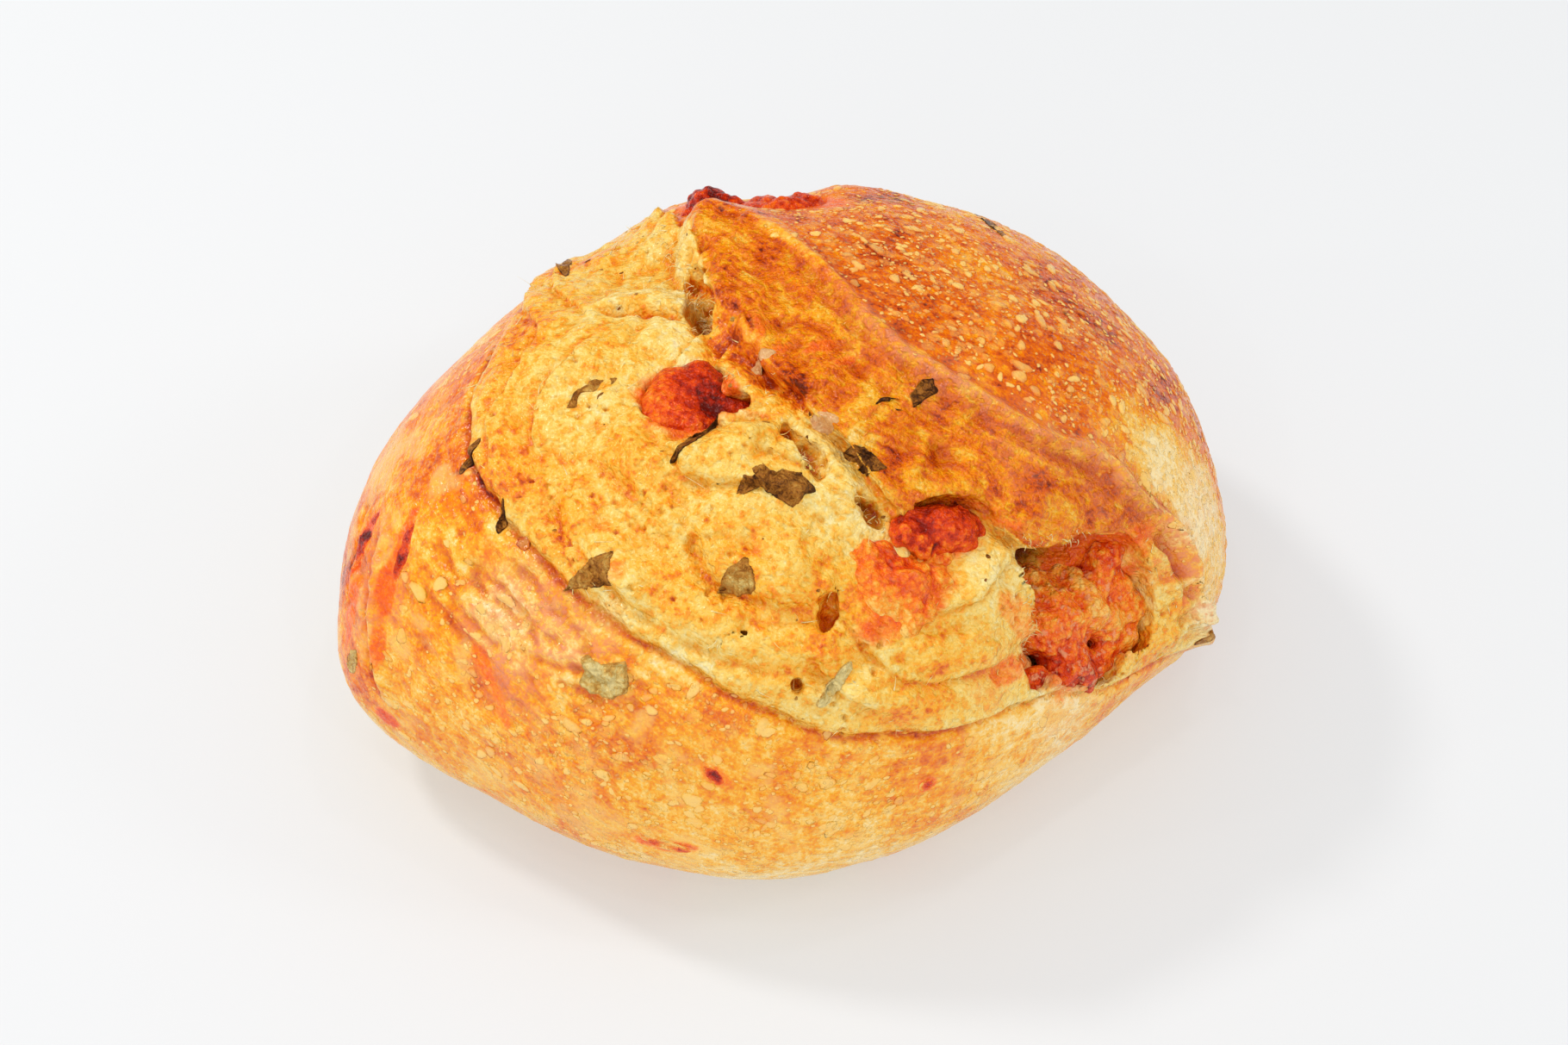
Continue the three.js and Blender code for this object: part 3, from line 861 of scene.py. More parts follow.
def hollows_of(thing, passes, depth):
    """For each vertex, how deep it lies below its surroundings, -1 to 1 at a depth in millimetres.

    The number of passes of averaging over neighbours sets how wide the surroundings are.
    """
    edges = read(thing.data.edges, "vertices", 2, np.int32)
    first, second = edges.T
    points = vertices_of(thing)
    count = len(points)
    weight = np.bincount(edges.ravel(), minlength=count)[:, None] + 1
    around = points
    for _ in range(passes):
        total = around + np.stack([
            np.bincount(first, around[second, n], count) + np.bincount(second, around[first, n], count)
            for n in range(3)], -1)
        around = total / weight
    return np.clip(dot(normals_of(thing), around - points) / depth, -1, 1)


def streaks(feet, rim, ear, wander):
    """Places in a grain that follows the nearest tear, and where there is such a grain, 0 to 1."""
    grains = [np.stack([along * run_of(line) / 6, across, np.full(len(feet), lift)], -1)
              for (_, across, along), line, lift in ((rim, bloom_rim, 0.0), (ear, ear_crest, 50.0))]
    on_ear = ear[0] < rim[0]
    grain = np.where(on_ear[:, None], grains[1], grains[0]) + 1.2 * wander
    clear = smooth_step(np.abs(ear[0] - rim[0]), 1.5, 9) * fade(np.where(on_ear, ear[2], rim[2]), 0.06)
    return grain, clear


def browning_and_painted_shade(points, feet, over, crumb, band, creases):
    """Masks for the loaf's skin, each about 0 to 1, by name: browning, stains and blisters, with painted
    shade, painted shadow and painted sheen.
    """
    wander = shaking(feet, 7, (111, 121, 131))
    jag = feet + 3.0 * wander
    ear = near(jag, ear_crest, 220)
    rim = near(jag, bloom_rim, 220)
    height = feet[:, 2]
    _, border, place = near(jag + 2.0 * wander, flap_border, 220)
    soft = 34 * smooth_step(place, 0.24, 0.02) + 16 * smooth_step(place, 0.94, 1.0)
    flap = smooth_step(border, -4 - soft, 6 + soft)
    toast = 0.42 - 0.01 * crumb + (1 - crumb) * flap * 0.26 + band * (1 - flap) * 0.16
    toast += patches(feet, jag, TOASTED)
    toast += 0.11 * rough(feet, 24, 141, 2) + 0.09 * rough(jag, 13, 155, 3)
    toast += (0.17 - 0.08 * crumb - 0.02 * band) * rough(jag, 7, 151, 3)
    toast += crumb * (1 - band) * (0.03 * rough(jag, 2.6, 157, 2) + 0.026 * np.clip(over, -3, 4))
    toast += band * (0.30 * rough(jag, 5.0, 159, 2) - 0.01)
    toast += (1 - crumb) * (1 - flap) * (1 - band) * (0.10 * rough(jag, 4.2, 167, 2) + 0.05)
    toast += crumb * (1 - band) * 0.10 * rough(jag, 10, 163, 2)
    toast += (1 - flap) * 0.10 * bell(rim[1], 1.0)
    toast -= (1 - crumb) * 0.16 * smooth_step(height, 34, 12)
    blush = np.clip(patches(feet, jag, PINK_AND_PAINTED_SHEEN), 0, 1)
    # A pink line along the ear's crest: partly its own reddish glaze, partly painted sheen on the ridge.
    crest = near(feet + 0.8 * wander, ear_crest, 30)
    blush = np.maximum(blush, 0.95 * bell(crest[1], 2.6) * smooth_step(crest[2], 0.22, 0.4))
    inside = smooth_step(over, INSIDE_FROM, INSIDE_BY)
    stain = stains(feet + 1.2 * wander)
    for middle, size, reach in SOAKING:
        away = length((points - np.array(middle)) / (np.array(size) / 2 + reach)) + 0.28 * wander[:, 0]
        stain = np.maximum(stain, 0.62 * smooth_step(away, 1.1, 0.55))
    crumb = np.maximum(crumb, inside)
    blistered = (1 - crumb) * (1 - band) * smooth_step(stain, 0.5, 0.2) * smooth_step(height, 6, 14)
    dotted = blistered * smooth_step(noise(jag, 11, 261) + 0.5 * flap, -0.3, 0.4)
    blotches = rough(jag, 8, 271, 3) + 0.3 * noise(feet, 30, 275)
    blotchy = blistered * (1 - flap) * smooth_step(blotches, 0.1, 0.6)
    creased, hollow = creases
    # Painted shade: the crumb and crust are browner in their creases and hollows.
    toast += (crumb * (0.07 * creased + 0.12 * np.maximum(hollow, 0))
              + (1 - crumb) * (1 - 0.6 * band) * 0.12 * creased)
    # Painted shadow deep inside the tears, under their overhanging lips; the cheese stain is taken out
    # there.
    painted_shadow = np.clip(inside * patches(feet, jag, PAINTED_SHADOW_SPOTS), 0, 1)
    # Painted shade: the walls inside the tears are browner.
    toast += inside * 0.22
    stain = stain * (1 - painted_shadow)
    # Painted shade: a mask that darkens creases, hollows and a thin line along the bloom's rim crease,
    # where shade falls.
    deep = np.maximum(creased, 0) + np.maximum(hollow, 0)
    seam = near(feet + 0.7 * wander, bloom_rim, 12)
    seam = bell(seam[1] + 0.3, 1.1) * smooth_step(seam[2], 0.02, 0.10) * smooth_step(seam[2], 0.56, 0.42)
    flow, streaky = streaks(feet, near(feet, bloom_rim, 220), near(feet, ear_crest, 220), wander)
    return {
        "crumb": crumb, "band": band, "toast": np.clip(toast, 0, 1), "blush": blush, "stain": stain,
        "shade": np.clip((0.40 - 0.22 * crumb) * deep + 0.9 * seam, 0, 1), "blistered": blistered,
        "dotted": dotted, "blister": 0.5 * blotchy, "flap": flap, "flow": flow, "streaky": streaky,
        "painted_shadow": painted_shadow,
    }


def fine_detail(feet, crumb, band):
    """Small relief in millimetres, on top of the loaf's main shape."""
    shake = feet + 0.8 * shaking(feet, 3, (161, 171, 181), 2)
    pores = smooth_step(bubbles(shake, 3.6, 191), 0.27, 0.08)
    pores *= smooth_step(noise(feet, 11, 201), -0.15, 0.35)
    strands = 1 - 3 * np.abs(rough(shake, 6, 211, 2))
    torn = 0.16 * rough(shake, 2.4, 221, 2) + 0.20 * strands - 1.2 * pores
    _, across, along = near(feet, ear_crest, 40)
    grain = np.stack([along * 8, across * 0.5, np.zeros(len(feet))], -1)
    stretched = 0.45 * rough(grain, 1.0, 231, 3) + 0.25 * rough(shake, 3, 241, 2)
    skin = 0.10 * rough(feet, 4, 251, 2)
    return crumb * (1 - band) * torn + band * stretched + (1 - crumb) * (1 - band) * skin


# ---------- the loaf ----------

def signed_field(dome):
    """Grid lines along X, Y and Z, and the signed distance to the loaf's surface on them."""
    reach = PLAN_RADII.max() + 6
    xs = spaced(-reach, reach, GRID, 1.3 * GRID, -95, 95)
    ys = spaced(-reach, reach, GRID, 1.9 * GRID, -100, 25)
    zs = spaced(-2.2, HEIGHT + 11, GRID, 1.6 * GRID, 45, 121)
    field = np.empty((len(xs), len(ys), len(zs)), np.float32)
    grid_x, grid_y = np.meshgrid(xs, ys, indexing="ij")
    points = np.stack([grid_x.ravel(), grid_y.ravel(), np.zeros(grid_x.size)], -1)
    for k, z in enumerate(zs):
        points[:, 2] = z
        level = dome_level(points)
        worth = (level > 0.6) & (level < 1.5)
        layer = np.where(level < 1, -8.0, 8.0)
        layer[worth] = dome.field(points[worth])
        field[:, :, k] = layer.reshape(grid_x.shape)
    front = np.nonzero(field < 6)
    points = np.stack([xs[front[0]], ys[front[1]], zs[front[2]]], -1)
    values = carve(field[front].astype(float), points)
    field[front] = smooth_max(values, -points[:, 2], 2.0)
    return field, xs, ys, zs


def reduce_triangles(thing, importance, most):
    """Collapse a mesh to at most so many triangles, fewer where importance is low."""
    group = thing.vertex_groups.new(name="spare")
    spare = np.clip(np.round((1 - importance) * 10) / 10, 0, 1)
    for value in np.unique(spare):
        group.add(np.flatnonzero(spare == value).tolist(), float(value), "REPLACE")
    modifier = thing.modifiers.new("reduce", "DECIMATE")
    modifier.ratio = min(1.0, most / (2 * len(thing.data.polygons)))
    modifier.vertex_group = "spare"
    modifier.vertex_group_factor = 1.0
    modifier.use_collapse_triangulate = True
    apply_modifiers(thing)


def apply_modifiers(thing):
    graph = bpy.context.evaluated_depsgraph_get()
    mesh = bpy.data.meshes.new_from_object(thing.evaluated_get(graph))
    thing.modifiers.clear()
    thing.vertex_groups.clear()
    old = thing.data
    thing.data = mesh
    bpy.data.meshes.remove(old)
    mesh.name = thing.name


def make_loaf():
    dome = DomeMap()
    field, xs, ys, zs = signed_field(dome)
    vertices, quads = surface_net(field, xs, ys, zs)
    thing = mesh_object("loaf_crust_and_crumb", vertices, quads)
    normals = normals_of(thing)
    feet, over = dome.feet(vertices)
    _, crumb, band = relief(feet)
    crumb = np.maximum(crumb, smooth_step(over, INSIDE_FROM, INSIDE_BY))
    above = smooth_step(vertices[:, 2], 0.5, 4)
    vertices = vertices + normals * (fine_detail(feet, crumb, band) * above)[:, None]
    set_vertices(thing, vertices)
    seen = smooth_step(vertices[:, 1] * -0.7 + vertices[:, 2] * 0.7, 20, 50)
    importance = np.clip(0.25 + 0.45 * seen + 0.3 * crumb, 0, 1) * above
    reduce_triangles(thing, importance, FINAL_TRIANGLES)
    vertices = vertices_of(thing)
    feet, over = dome.feet(vertices)
    _, crumb, band = relief(feet)
    creases = hollows_of(thing, 4, 0.22), hollows_of(thing, 24, 0.9)
    skin = browning_and_painted_shade(vertices, feet, over, crumb, band, creases)
    for name, values in skin.items():
        set_value(thing, name, values)
    return thing, skin


# ---------- materials ----------

def linear(color):
    """An sRGB colour, 0 to 255, as linear values with alpha."""
    values = np.array(color) / 255
    return (*np.where(values < 0.04045, values / 12.92, ((values + 0.055) / 1.055) ** 2.4), 1.0)


# The colour inputs of a mix node; earlier ones mix numbers.
MIX_COLOR_A, MIX_COLOR_B = 6, 7


class Look:
    """A node material that is built up socket by socket; lengths are in millimetres."""

    def __init__(self, name, roughness, specular):
        self.material = bpy.data.materials.new(name)
        self.material.use_nodes = True
        self.tree = self.material.node_tree
        self.shader = self.tree.nodes["Principled BSDF"]
        self.shader.inputs["Roughness"].default_value = roughness
        self.shader.inputs["Specular IOR Level"].default_value = specular
        place = self.tree.nodes.new("ShaderNodeTexCoord").outputs["Object"]
        self.place = self.add("ShaderNodeVectorMath", {0: place, "Scale": 1 / MM}, operation="SCALE")

    def add(self, kind, sockets, **settings):
        node = self.tree.nodes.new(kind)
        for name, value in settings.items():
            setattr(node, name, value)
        for name, value in sockets.items():
            if isinstance(value, bpy.types.NodeSocket):
                self.tree.links.new(value, node.inputs[name])
            else:
                node.inputs[name].default_value = value
        return next(output for output in node.outputs if output.enabled)

    def value(self, name, output="Fac"):
        """What the mesh stores under a name."""
        node = self.tree.nodes.new("ShaderNodeAttribute")
        node.attribute_name = name
        return node.outputs[output]

    def math(self, operation, a, b, c=0.0):
        return self.add("ShaderNodeMath", {0: a, 1: b, 2: c}, operation=operation)

    def times(self, a, b):
        return self.math("MULTIPLY", a, b)

    def plus(self, total, *terms):
        """total and each term; a term may be a pair, a value and its share."""
        for term in terms:
            value, share = term if isinstance(term, tuple) else (term, 1.0)
            total = self.math("MULTIPLY_ADD", value, share, total)
        return total

    def between(self, value, low, high):
        """0 at low and below, 1 at high and above."""
        return self.add("ShaderNodeMapRange", {"Value": value, "From Min": low, "From Max": high},
                        interpolation_type="SMOOTHSTEP")

    def noise(self, size, detail, roughness, shake=0.0, place=None):
        """Noise from about -0.5 to 0.5."""
        noise = self.add("ShaderNodeTexNoise", {
            "Vector": place or self.place, "Scale": 1 / size, "Detail": detail,
            "Roughness": roughness, "Distortion": shake})
        return self.math("SUBTRACT", noise, 0.5)

    def noise_and_place(self, size, detail, roughness):
        """Noise from about -0.5 to 0.5, and the place, shaken by about a millimetre."""
        noise = self.add("ShaderNodeTexNoise", {
            "Vector": self.place, "Scale": 1 / size, "Detail": detail, "Roughness": roughness})
        offset = self.add(
            "ShaderNodeVectorMath", {0: noise.node.outputs["Color"], "Scale": 3.0}, operation="SCALE")
        shaken = self.add("ShaderNodeVectorMath", {0: self.place, 1: offset}, operation="ADD")
        return self.math("SUBTRACT", noise, 0.5), shaken

    def cells(self, size, place):
        """0 in the middle of scattered cells, up to about 1 between them."""
        return self.add("ShaderNodeTexVoronoi", {"Vector": place, "Scale": 1 / size})

    def ramp(self, value, *stops):
        node = self.tree.nodes.new("ShaderNodeValToRGB")
        points = node.color_ramp.elements
        while len(points) < len(stops):
            points.new(1.0)
        for point, (place, color) in zip(points, stops):
            point.position = place
            point.color = linear(color)
        self.tree.links.new(value, node.inputs["Fac"])
        return node.outputs["Color"]

    def mix(self, share, a, b, blend="MIX"):
        a, b = (linear(c) if isinstance(c, tuple) else c for c in (a, b))
        return self.add("ShaderNodeMix", {0: share, MIX_COLOR_A: a, MIX_COLOR_B: b},
                        data_type="RGBA", blend_type=blend)

    def finish(self, color, height, roughness=None):
        """Links the colour, a relief in millimetres and, if given, the roughness."""
        bump = self.add("ShaderNodeBump", {"Height": height, "Strength": 1.0, "Distance": MM})
        self.tree.links.new(color, self.shader.inputs["Base Color"])
        self.tree.links.new(bump, self.shader.inputs["Normal"])
        if roughness is not None:
            self.tree.links.new(roughness, self.shader.inputs["Roughness"])
        return self.material


CRUST_COLORS = (
    (0.00, (253, 228, 168)), (0.14, (252, 212, 126)), (0.28, (251, 192, 74)), (0.40, (249, 168, 26)),
    (0.52, (244, 142, 8)), (0.66, (234, 112, 2)), (0.80, (212, 82, 2)), (0.92, (162, 50, 2)),
    (1.00, (112, 28, 2)))
CRUMB_COLORS = (
    (0.00, (250, 234, 180)), (0.16, (248, 222, 142)), (0.32, (248, 206, 102)), (0.48, (249, 184, 58)),
    (0.62, (252, 158, 24)), (0.76, (240, 122, 10)), (0.88, (218, 88, 4)), (1.00, (172, 54, 2)))
CHEESE_COLORS = (
    (0.00, (255, 200, 100)), (0.18, (255, 162, 46)), (0.38, (252, 116, 18)), (0.58, (230, 68, 8)),
    (0.78, (182, 34, 4)), (1.00, (104, 12, 2)))
PEPPER_COLORS = (
    (0.00, (60, 28, 6)), (0.16, (112, 62, 14)), (0.32, (166, 100, 30)), (0.48, (198, 130, 46)),
    (0.66, (216, 160, 72)), (0.84, (234, 198, 112)), (1.00, (246, 222, 150)))
ONION_COLORS = (
    (0.0, (190, 120, 60)), (0.4, (216, 158, 100)), (0.7, (232, 188, 130)), (1.0, (248, 222, 176)))
BLISTER_COLOR = (250, 202, 108)
PINK_AND_PAINTED_SHEEN_COLOR = (236, 150, 106)
CRUMBLY_COLOR = (246, 170, 118)
# Colours that darken what they lie on: painted shade in creases and hollows, and painted shadow inside
# the tears.
PAINTED_SHADE_COLOR = (196, 106, 40)
PAINTED_SHADOW_COLOR = (116, 74, 44)


def loaf_look():
    look = Look("baked_dough", 0.45, 0.50)
    crumb, band, dotted = look.value("crumb"), look.value("band"), look.value("dotted")
    skin_share = look.math("SUBTRACT", 1.0, crumb)
    soft, shaken = look.noise_and_place(2.6, 2, 0.6)
    fine = look.noise(0.8, 2, 0.6, 0.3)
    cells, wide_cells = look.cells(1.7, shaken), look.cells(4.2, shaken)
    streak = look.times(look.noise(1.5, 2, 0.6, 0.0, look.value("flow", "Vector")), look.value("streaky"))

    toast = look.plus(look.value("toast"), look.times(streak, look.plus(0.32, (band, 0.34))))
    speckle = look.plus(
        look.times(soft, 0.66), (fine, 0.58), (look.math("SUBTRACT", wide_cells, 0.5), 0.14))
    mottle = look.math("SUBTRACT", look.between(soft, -0.06, 0.16), 0.4)
    crumb_toast = look.plus(
        toast, (fine, 0.42), (look.math("SUBTRACT", cells, 0.5), 0.18), (mottle, 0.20))
    crust_color = look.ramp(look.plus(toast, speckle), *CRUST_COLORS)
    color = look.mix(crumb, crust_color, look.ramp(crumb_toast, *CRUMB_COLORS))
    # Pink colour and painted sheen, broken up by noise.
    patchy = look.plus(0.15, (look.between(look.plus(soft, (fine, 0.5)), -0.12, 0.14), 0.60))
    color = look.mix(look.times(look.value("blush"), patchy), color, PINK_AND_PAINTED_SHEEN_COLOR)
    stain = look.plus(look.value("stain"), (soft, 0.45))
    stained = look.ramp(look.plus(look.times(stain, 0.72), (fine, 0.40)), *CHEESE_COLORS)
    color = look.mix(look.between(stain, 0.14, 0.66), color, stained)
    dots = look.times(look.between(cells, 0.34, 0.20), dotted)
    rings = look.times(look.between(wide_cells, 0.44, 0.30), dotted)
    pale = look.between(look.plus(look.value("blister"), (soft, 0.5)), 0.1, 0.9)
    spots = look.math("MAXIMUM", look.times(dots, 0.36), look.times(rings, 0.24))
    pale = look.math("MAXIMUM", pale, spots)
    color = look.mix(look.times(pale, skin_share), color, BLISTER_COLOR)
    # Painted shade in creases and hollows, then painted shadow inside the tears, multiplied over the
    # colour.
    color = look.mix(look.times(look.value("shade"), 0.6), color, PAINTED_SHADE_COLOR, "MULTIPLY")
    color = look.mix(look.value("painted_shadow"), color, PAINTED_SHADOW_COLOR, "MULTIPLY")

    torn = look.plus(look.times(fine, 0.36), (soft, 1.1), (cells, 0.50), (streak, 0.5))
    peel = look.plus(look.times(cells, -0.5), (fine, 0.5), (soft, 1.2))
    skin = look.plus(look.times(fine, 0.20), (soft, 0.75), (dots, 0.16), (streak, 0.45), (rings, 0.14),
                     look.times(peel, band))
    height = look.plus(look.times(crumb, torn), look.times(skin_share, skin))
    return look.finish(color, height, look.plus(0.24, (band, -0.04), (fine, 0.40), (soft, 0.40)))


def cheese_look():
    look = Look("baked_cheese", 0.20, 0.45)
    soft, shaken = look.noise_and_place(1.9, 2, 0.6)
    fine = look.noise(0.6, 2, 0.6, 0.3)
    pebbles = look.cells(1.5, shaken)
    tone = look.plus(look.value("tone"), (soft, 0.50), (fine, 0.24),
                     (look.math("SUBTRACT", pebbles, 0.45), 0.34))
    color = look.ramp(tone, *CHEESE_COLORS)
    crumbly = look.times(look.value("crumbly"), look.between(soft, 0.04, 0.20))
    color = look.mix(crumbly, color, CRUMBLY_COLOR)
    height = look.plus(look.times(pebbles, -0.6), soft, (fine, 0.4))
    return look.finish(color, height, look.plus(0.20, (fine, 0.3), (soft, 0.3)))


def pepper_look():
    look = Look("roasted_pepper", 0.32, 0.25)
    veins = look.noise(1.4, 4, 0.7, 1.4)
    tone, edge = look.value("tone"), look.value("edge")
    tone = look.plus(tone, (veins, 1.35), (look.between(edge, 0.80, 1.0), -0.22))
    return look.finish(look.ramp(tone, *PEPPER_COLORS), look.times(veins, 1.3))


def onion_look():
    look = Look("baked_onion", 0.18, 0.5)
    veins = look.noise(1.0, 2, 0.6, 0.8)
    return look.finish(look.ramp(look.plus(0.5, (veins, 1.2)), *ONION_COLORS), look.times(veins, 0.5))


loaf, loaf_skin = make_loaf()
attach(loaf, BODY)
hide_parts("loaf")
LOAF_LOOK = loaf_look()
CHEESE_LOOK = cheese_look()
PEPPER_LOOK = pepper_look()
loaf.data.materials.append(LOAF_LOOK)

LOAF_TREE = BVHTree.FromObject(loaf, bpy.context.evaluated_depsgraph_get())
LOAF_POINTS = vertices_of(loaf)
LOAF_NORMALS = normals_of(loaf)


# ---------- pieces on the loaf ----------

def drop(points, outward, start=14.0, deepest=44.0):
    """Points moved along -outward onto the loaf's surface."""
    landed = np.array(points, float)
    direction = tuple(-outward)
    for number, point in enumerate(points):
        origin = tuple((point + outward * start) * MM)
        hit, _, _, _ = LOAF_TREE.ray_cast(origin, direction, deepest * MM)
        if hit is not None:
            landed[number] = np.array(hit) / MM
    return landed


def star_radius(corners, angles):
    """How far a closed outline, given by its corners, lies from the middle at each angle."""
    corners = np.array(corners, float)
    radius = np.full(len(angles), 0.3)
    rays = np.stack([np.cos(angles), np.sin(angles)], -1)
    for start, end in zip(corners, np.roll(corners, -1, 0)):
        edge = end - start
        cross = rays[:, 0] * edge[1] - rays[:, 1] * edge[0]
        cross = np.where(np.abs(cross) < TINY, TINY, cross)
        reach = (start[0] * edge[1] - start[1] * edge[0]) / cross
        share = (start[0] * rays[:, 1] - start[1] * rays[:, 0]) / cross
        hit = (reach > 0) & (share >= 0) & (share <= 1)
        radius = np.where(hit, np.maximum(radius, reach), radius)
    return radius


def ring_triangles(rings, sectors):
    """Triangles of a closed shape: a middle, rings of vertices outward, and a last middle below."""
    faces = []
    around = np.arange(sectors)
    after = (around + 1) % sectors
    first = 1 + around
    faces.append(np.stack([np.zeros(sectors, int), first, 1 + after], -1))
    for ring in range(rings - 1):
        a, b = 1 + ring * sectors + around, 1 + ring * sectors + after
        faces.append(np.stack([a, a + sectors, b + sectors], -1))
        faces.append(np.stack([a, b + sectors, b], -1))
    a, b = 1 + (rings - 1) * sectors + around, 1 + (rings - 1) * sectors + after
    faces.append(np.stack([a, np.full(sectors, 1 + rings * sectors), b], -1))
    return np.vstack(faces)


def repeated(faces, count, step):
    """The same triangles for each of count equal shapes with so many vertices each."""
    return (faces[None] + np.arange(count)[:, None, None] * step).reshape(-1, 3)


def last_of_each(faces, last, count=1):
    """True for the last few faces of each of count equal shapes."""
    each = len(faces) // count
    return np.tile(np.arange(each) >= each - last, count)


def laid_patch(place, turn, corners, top, under, rings, sectors, jagged, seed):
    """A closed piece laid on the loaf. top(points, edge) is its height over the loaf's surface.

    Returns its vertices, its triangles, which of them lie under it and, for each vertex, 0 in the
    middle to 1 at the edge.
    """
    middle = on_dome([place])[0]
    outward, first, second = tangent_frame(middle, turn)
    angles = full_turn(sectors)
    radius = star_radius(corners, angles)
    ragged = np.stack([np.cos(angles) * 9, np.sin(angles) * 9, np.zeros(sectors)], -1)
    radius *= 1 + jagged * 2 * rough(ragged, 3, seed + 500, 3)
    shares = np.concatenate([[0], np.linspace(0, 1, rings)[1:]])
    flat = [np.zeros((1, 2))]
    edge = [0.0]
    for share in shares[1:]:
        flat.append(np.stack([np.cos(angles), np.sin(angles)], -1) * (radius * share)[:, None])
        edge += [share] * sectors
    flat = np.vstack(flat)
    edge = np.array(edge)
    laid = drop(middle + flat[:, :1] * first + flat[:, 1:] * second, outward)
    above = laid + outward * top(laid, edge)[:, None]
    lower = laid[1 + 6 * sectors:1 + 7 * sectors] - outward * under
    vertices = np.vstack([above, lower, laid[:1] - outward * under])
    edge = np.concatenate([edge, np.ones(sectors + 1)])
    faces = ring_triangles(rings, sectors)
    return vertices, faces, last_of_each(faces, 3 * sectors), edge


def piece(name, node, slot, look, vertices, faces, hidden=None, **values):
    thing = mesh_object(name, vertices, faces, hidden)
    for key, value in values.items():
        set_value(thing, key, value)
    thing.data.materials.append(look)
    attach(thing, BODY)
    if node:
        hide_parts(node)
    return thing


OVAL_CORNERS = 14


def oval(long, wide):
    angles = full_turn(OVAL_CORNERS)
    return np.stack([np.cos(angles) * long / 2, np.sin(angles) * wide / 2], -1)


def bubbly(points, seed):
    """Relief of melted, browned cheese, in millimetres."""
    shake = points + 0.9 * shaking(points, 4, (seed + 1, seed + 2, seed + 3), 2)
    return (1.0 * rough(shake, 7, seed, 3) + 0.7 * (0.5 - bubbles(shake, 3.2, seed + 5))
            + 0.35 * (0.5 - bubbles(shake, 1.7, seed + 6)))


def cheese_mass(node, balls, seed, blend, ragged, crumbly, laid=False, step=0.6):
    """Melted cheese: balls run together, each a place, a radius, a depth and how brown it is.

    Depths are from the smooth dome, or from the loaf's own surface where the cheese is laid on it.
    """
    places, radii, depths, tones = (np.array(column, float) for column in zip(*balls))
    middles = on_dome(places)
    outward = unit(middles - CENTRE)
    if laid:
        middles = np.vstack([drop(middles[n:n + 1], outward[n]) for n in range(len(middles))])
    middles = middles - outward * depths[:, None]
    low, high = (middles - radii[:, None]).min(0) - 4, (middles + radii[:, None]).max(0) + 4
    lines = [np.arange(low[n], high[n], step) for n in range(3)]
    grid = np.stack(np.meshgrid(*lines, indexing="ij"), -1)
    points = grid.reshape(-1, 3)
    total = np.zeros(len(points))
    for middle, radius in zip(middles, radii):
        total += np.exp((radius - length(points - middle)) / blend)
    field = -blend * np.log(total)
    close = np.abs(field) < 5
    field[close] -= ragged * bubbly(points[close], seed) + ragged * rough(points[close], 8, seed + 3, 2)
    vertices, quads = surface_net(field.reshape(grid.shape[:3]), *lines)
    faces = np.vstack([quads[:, [0, 1, 2]], quads[:, [0, 2, 3]]])
    share = np.exp((radii - length(vertices[:, None] - middles)) / 2.0)
    tone = (share * tones).sum(1) / share.sum(1) + 0.16 * rough(vertices, 8, seed + 13, 3)
    thing = piece(node, node, "cheese", CHEESE_LOOK, vertices, faces)
    creased, hollow = hollows_of(thing, 4, 0.2), hollows_of(thing, 20, 0.8)
    # Painted shade: the cheese is a darker red in its creases and hollows.
    set_value(thing, "tone", tone + 0.12 * creased + 0.12 * hollow)
    set_value(thing, "crumbly", np.full(len(vertices), crumbly))
    return thing


def cheese_patch(node, place, turn, corners, tone, seed, proud, bumps, rings, sectors, jagged):
    """Cheese that lies in the loaf's surface."""
    def top(points, edge):
        return (proud + bumps * bubbly(points, seed)) * smooth_step(edge, 1.0, 0.7) - 0.5 * edge ** 6

    vertices, faces, hidden, edge = laid_patch(
        place, turn, corners, top, 1.2, rings, sectors, jagged, seed)
    shade = tone - 0.14 * bubbly(vertices, seed) - 0.44 * smooth_step(edge, 0.3, 1.0)
    shade += 0.50 * rough(vertices, 3.4, seed + 11, 3)
    return piece(node, node, "cheese", CHEESE_LOOK, vertices, faces, hidden,
                 tone=shade, crumbly=0 * shade)


cheese_mass("cheese_in_opening", [
    ((64, -54, 64), 6.6, 14.5, 0.42), ((70, -48, 65), 6.5, 14.5, 0.20), ((58, -56, 69), 4.0, 15, 0.74),
    ((76, -43, 63), 5.2, 12.5, 0.22), ((82, -36, 64), 4.2, 7, 0.52), ((86, -33, 66), 3.2, 4.6, 0.44),
    ((70, -51, 60), 7.5, 9.6, 0.36), ((77, -46, 57), 7, 8.2, 0.28), ((83, -42, 50), 5.4, 7, 0.26),
    ((65, -56, 58), 4.6, 9.5, 0.56), ((72, -54, 50), 6.5, 6.8, 0.52), ((67, -59, 46), 4.5, 4.4, 0.80),
    ((74, -54, 43), 4.2, 3.2, 0.82), ((79, -49, 42), 4.6, 4.6, 0.52), ((82, -46, 38), 3, 2.8, 0.32),
    ((60, -62, 50), 3.4, 4.0, 0.76), ((87, -37, 58), 4.4, 6.0, 0.34),
    ((88, -37, 50), 4.6, 5.4, 0.28), ((86, -41, 43), 3.6, 4.0, 0.36)], 300, 1.4, 1.5, 0.7)
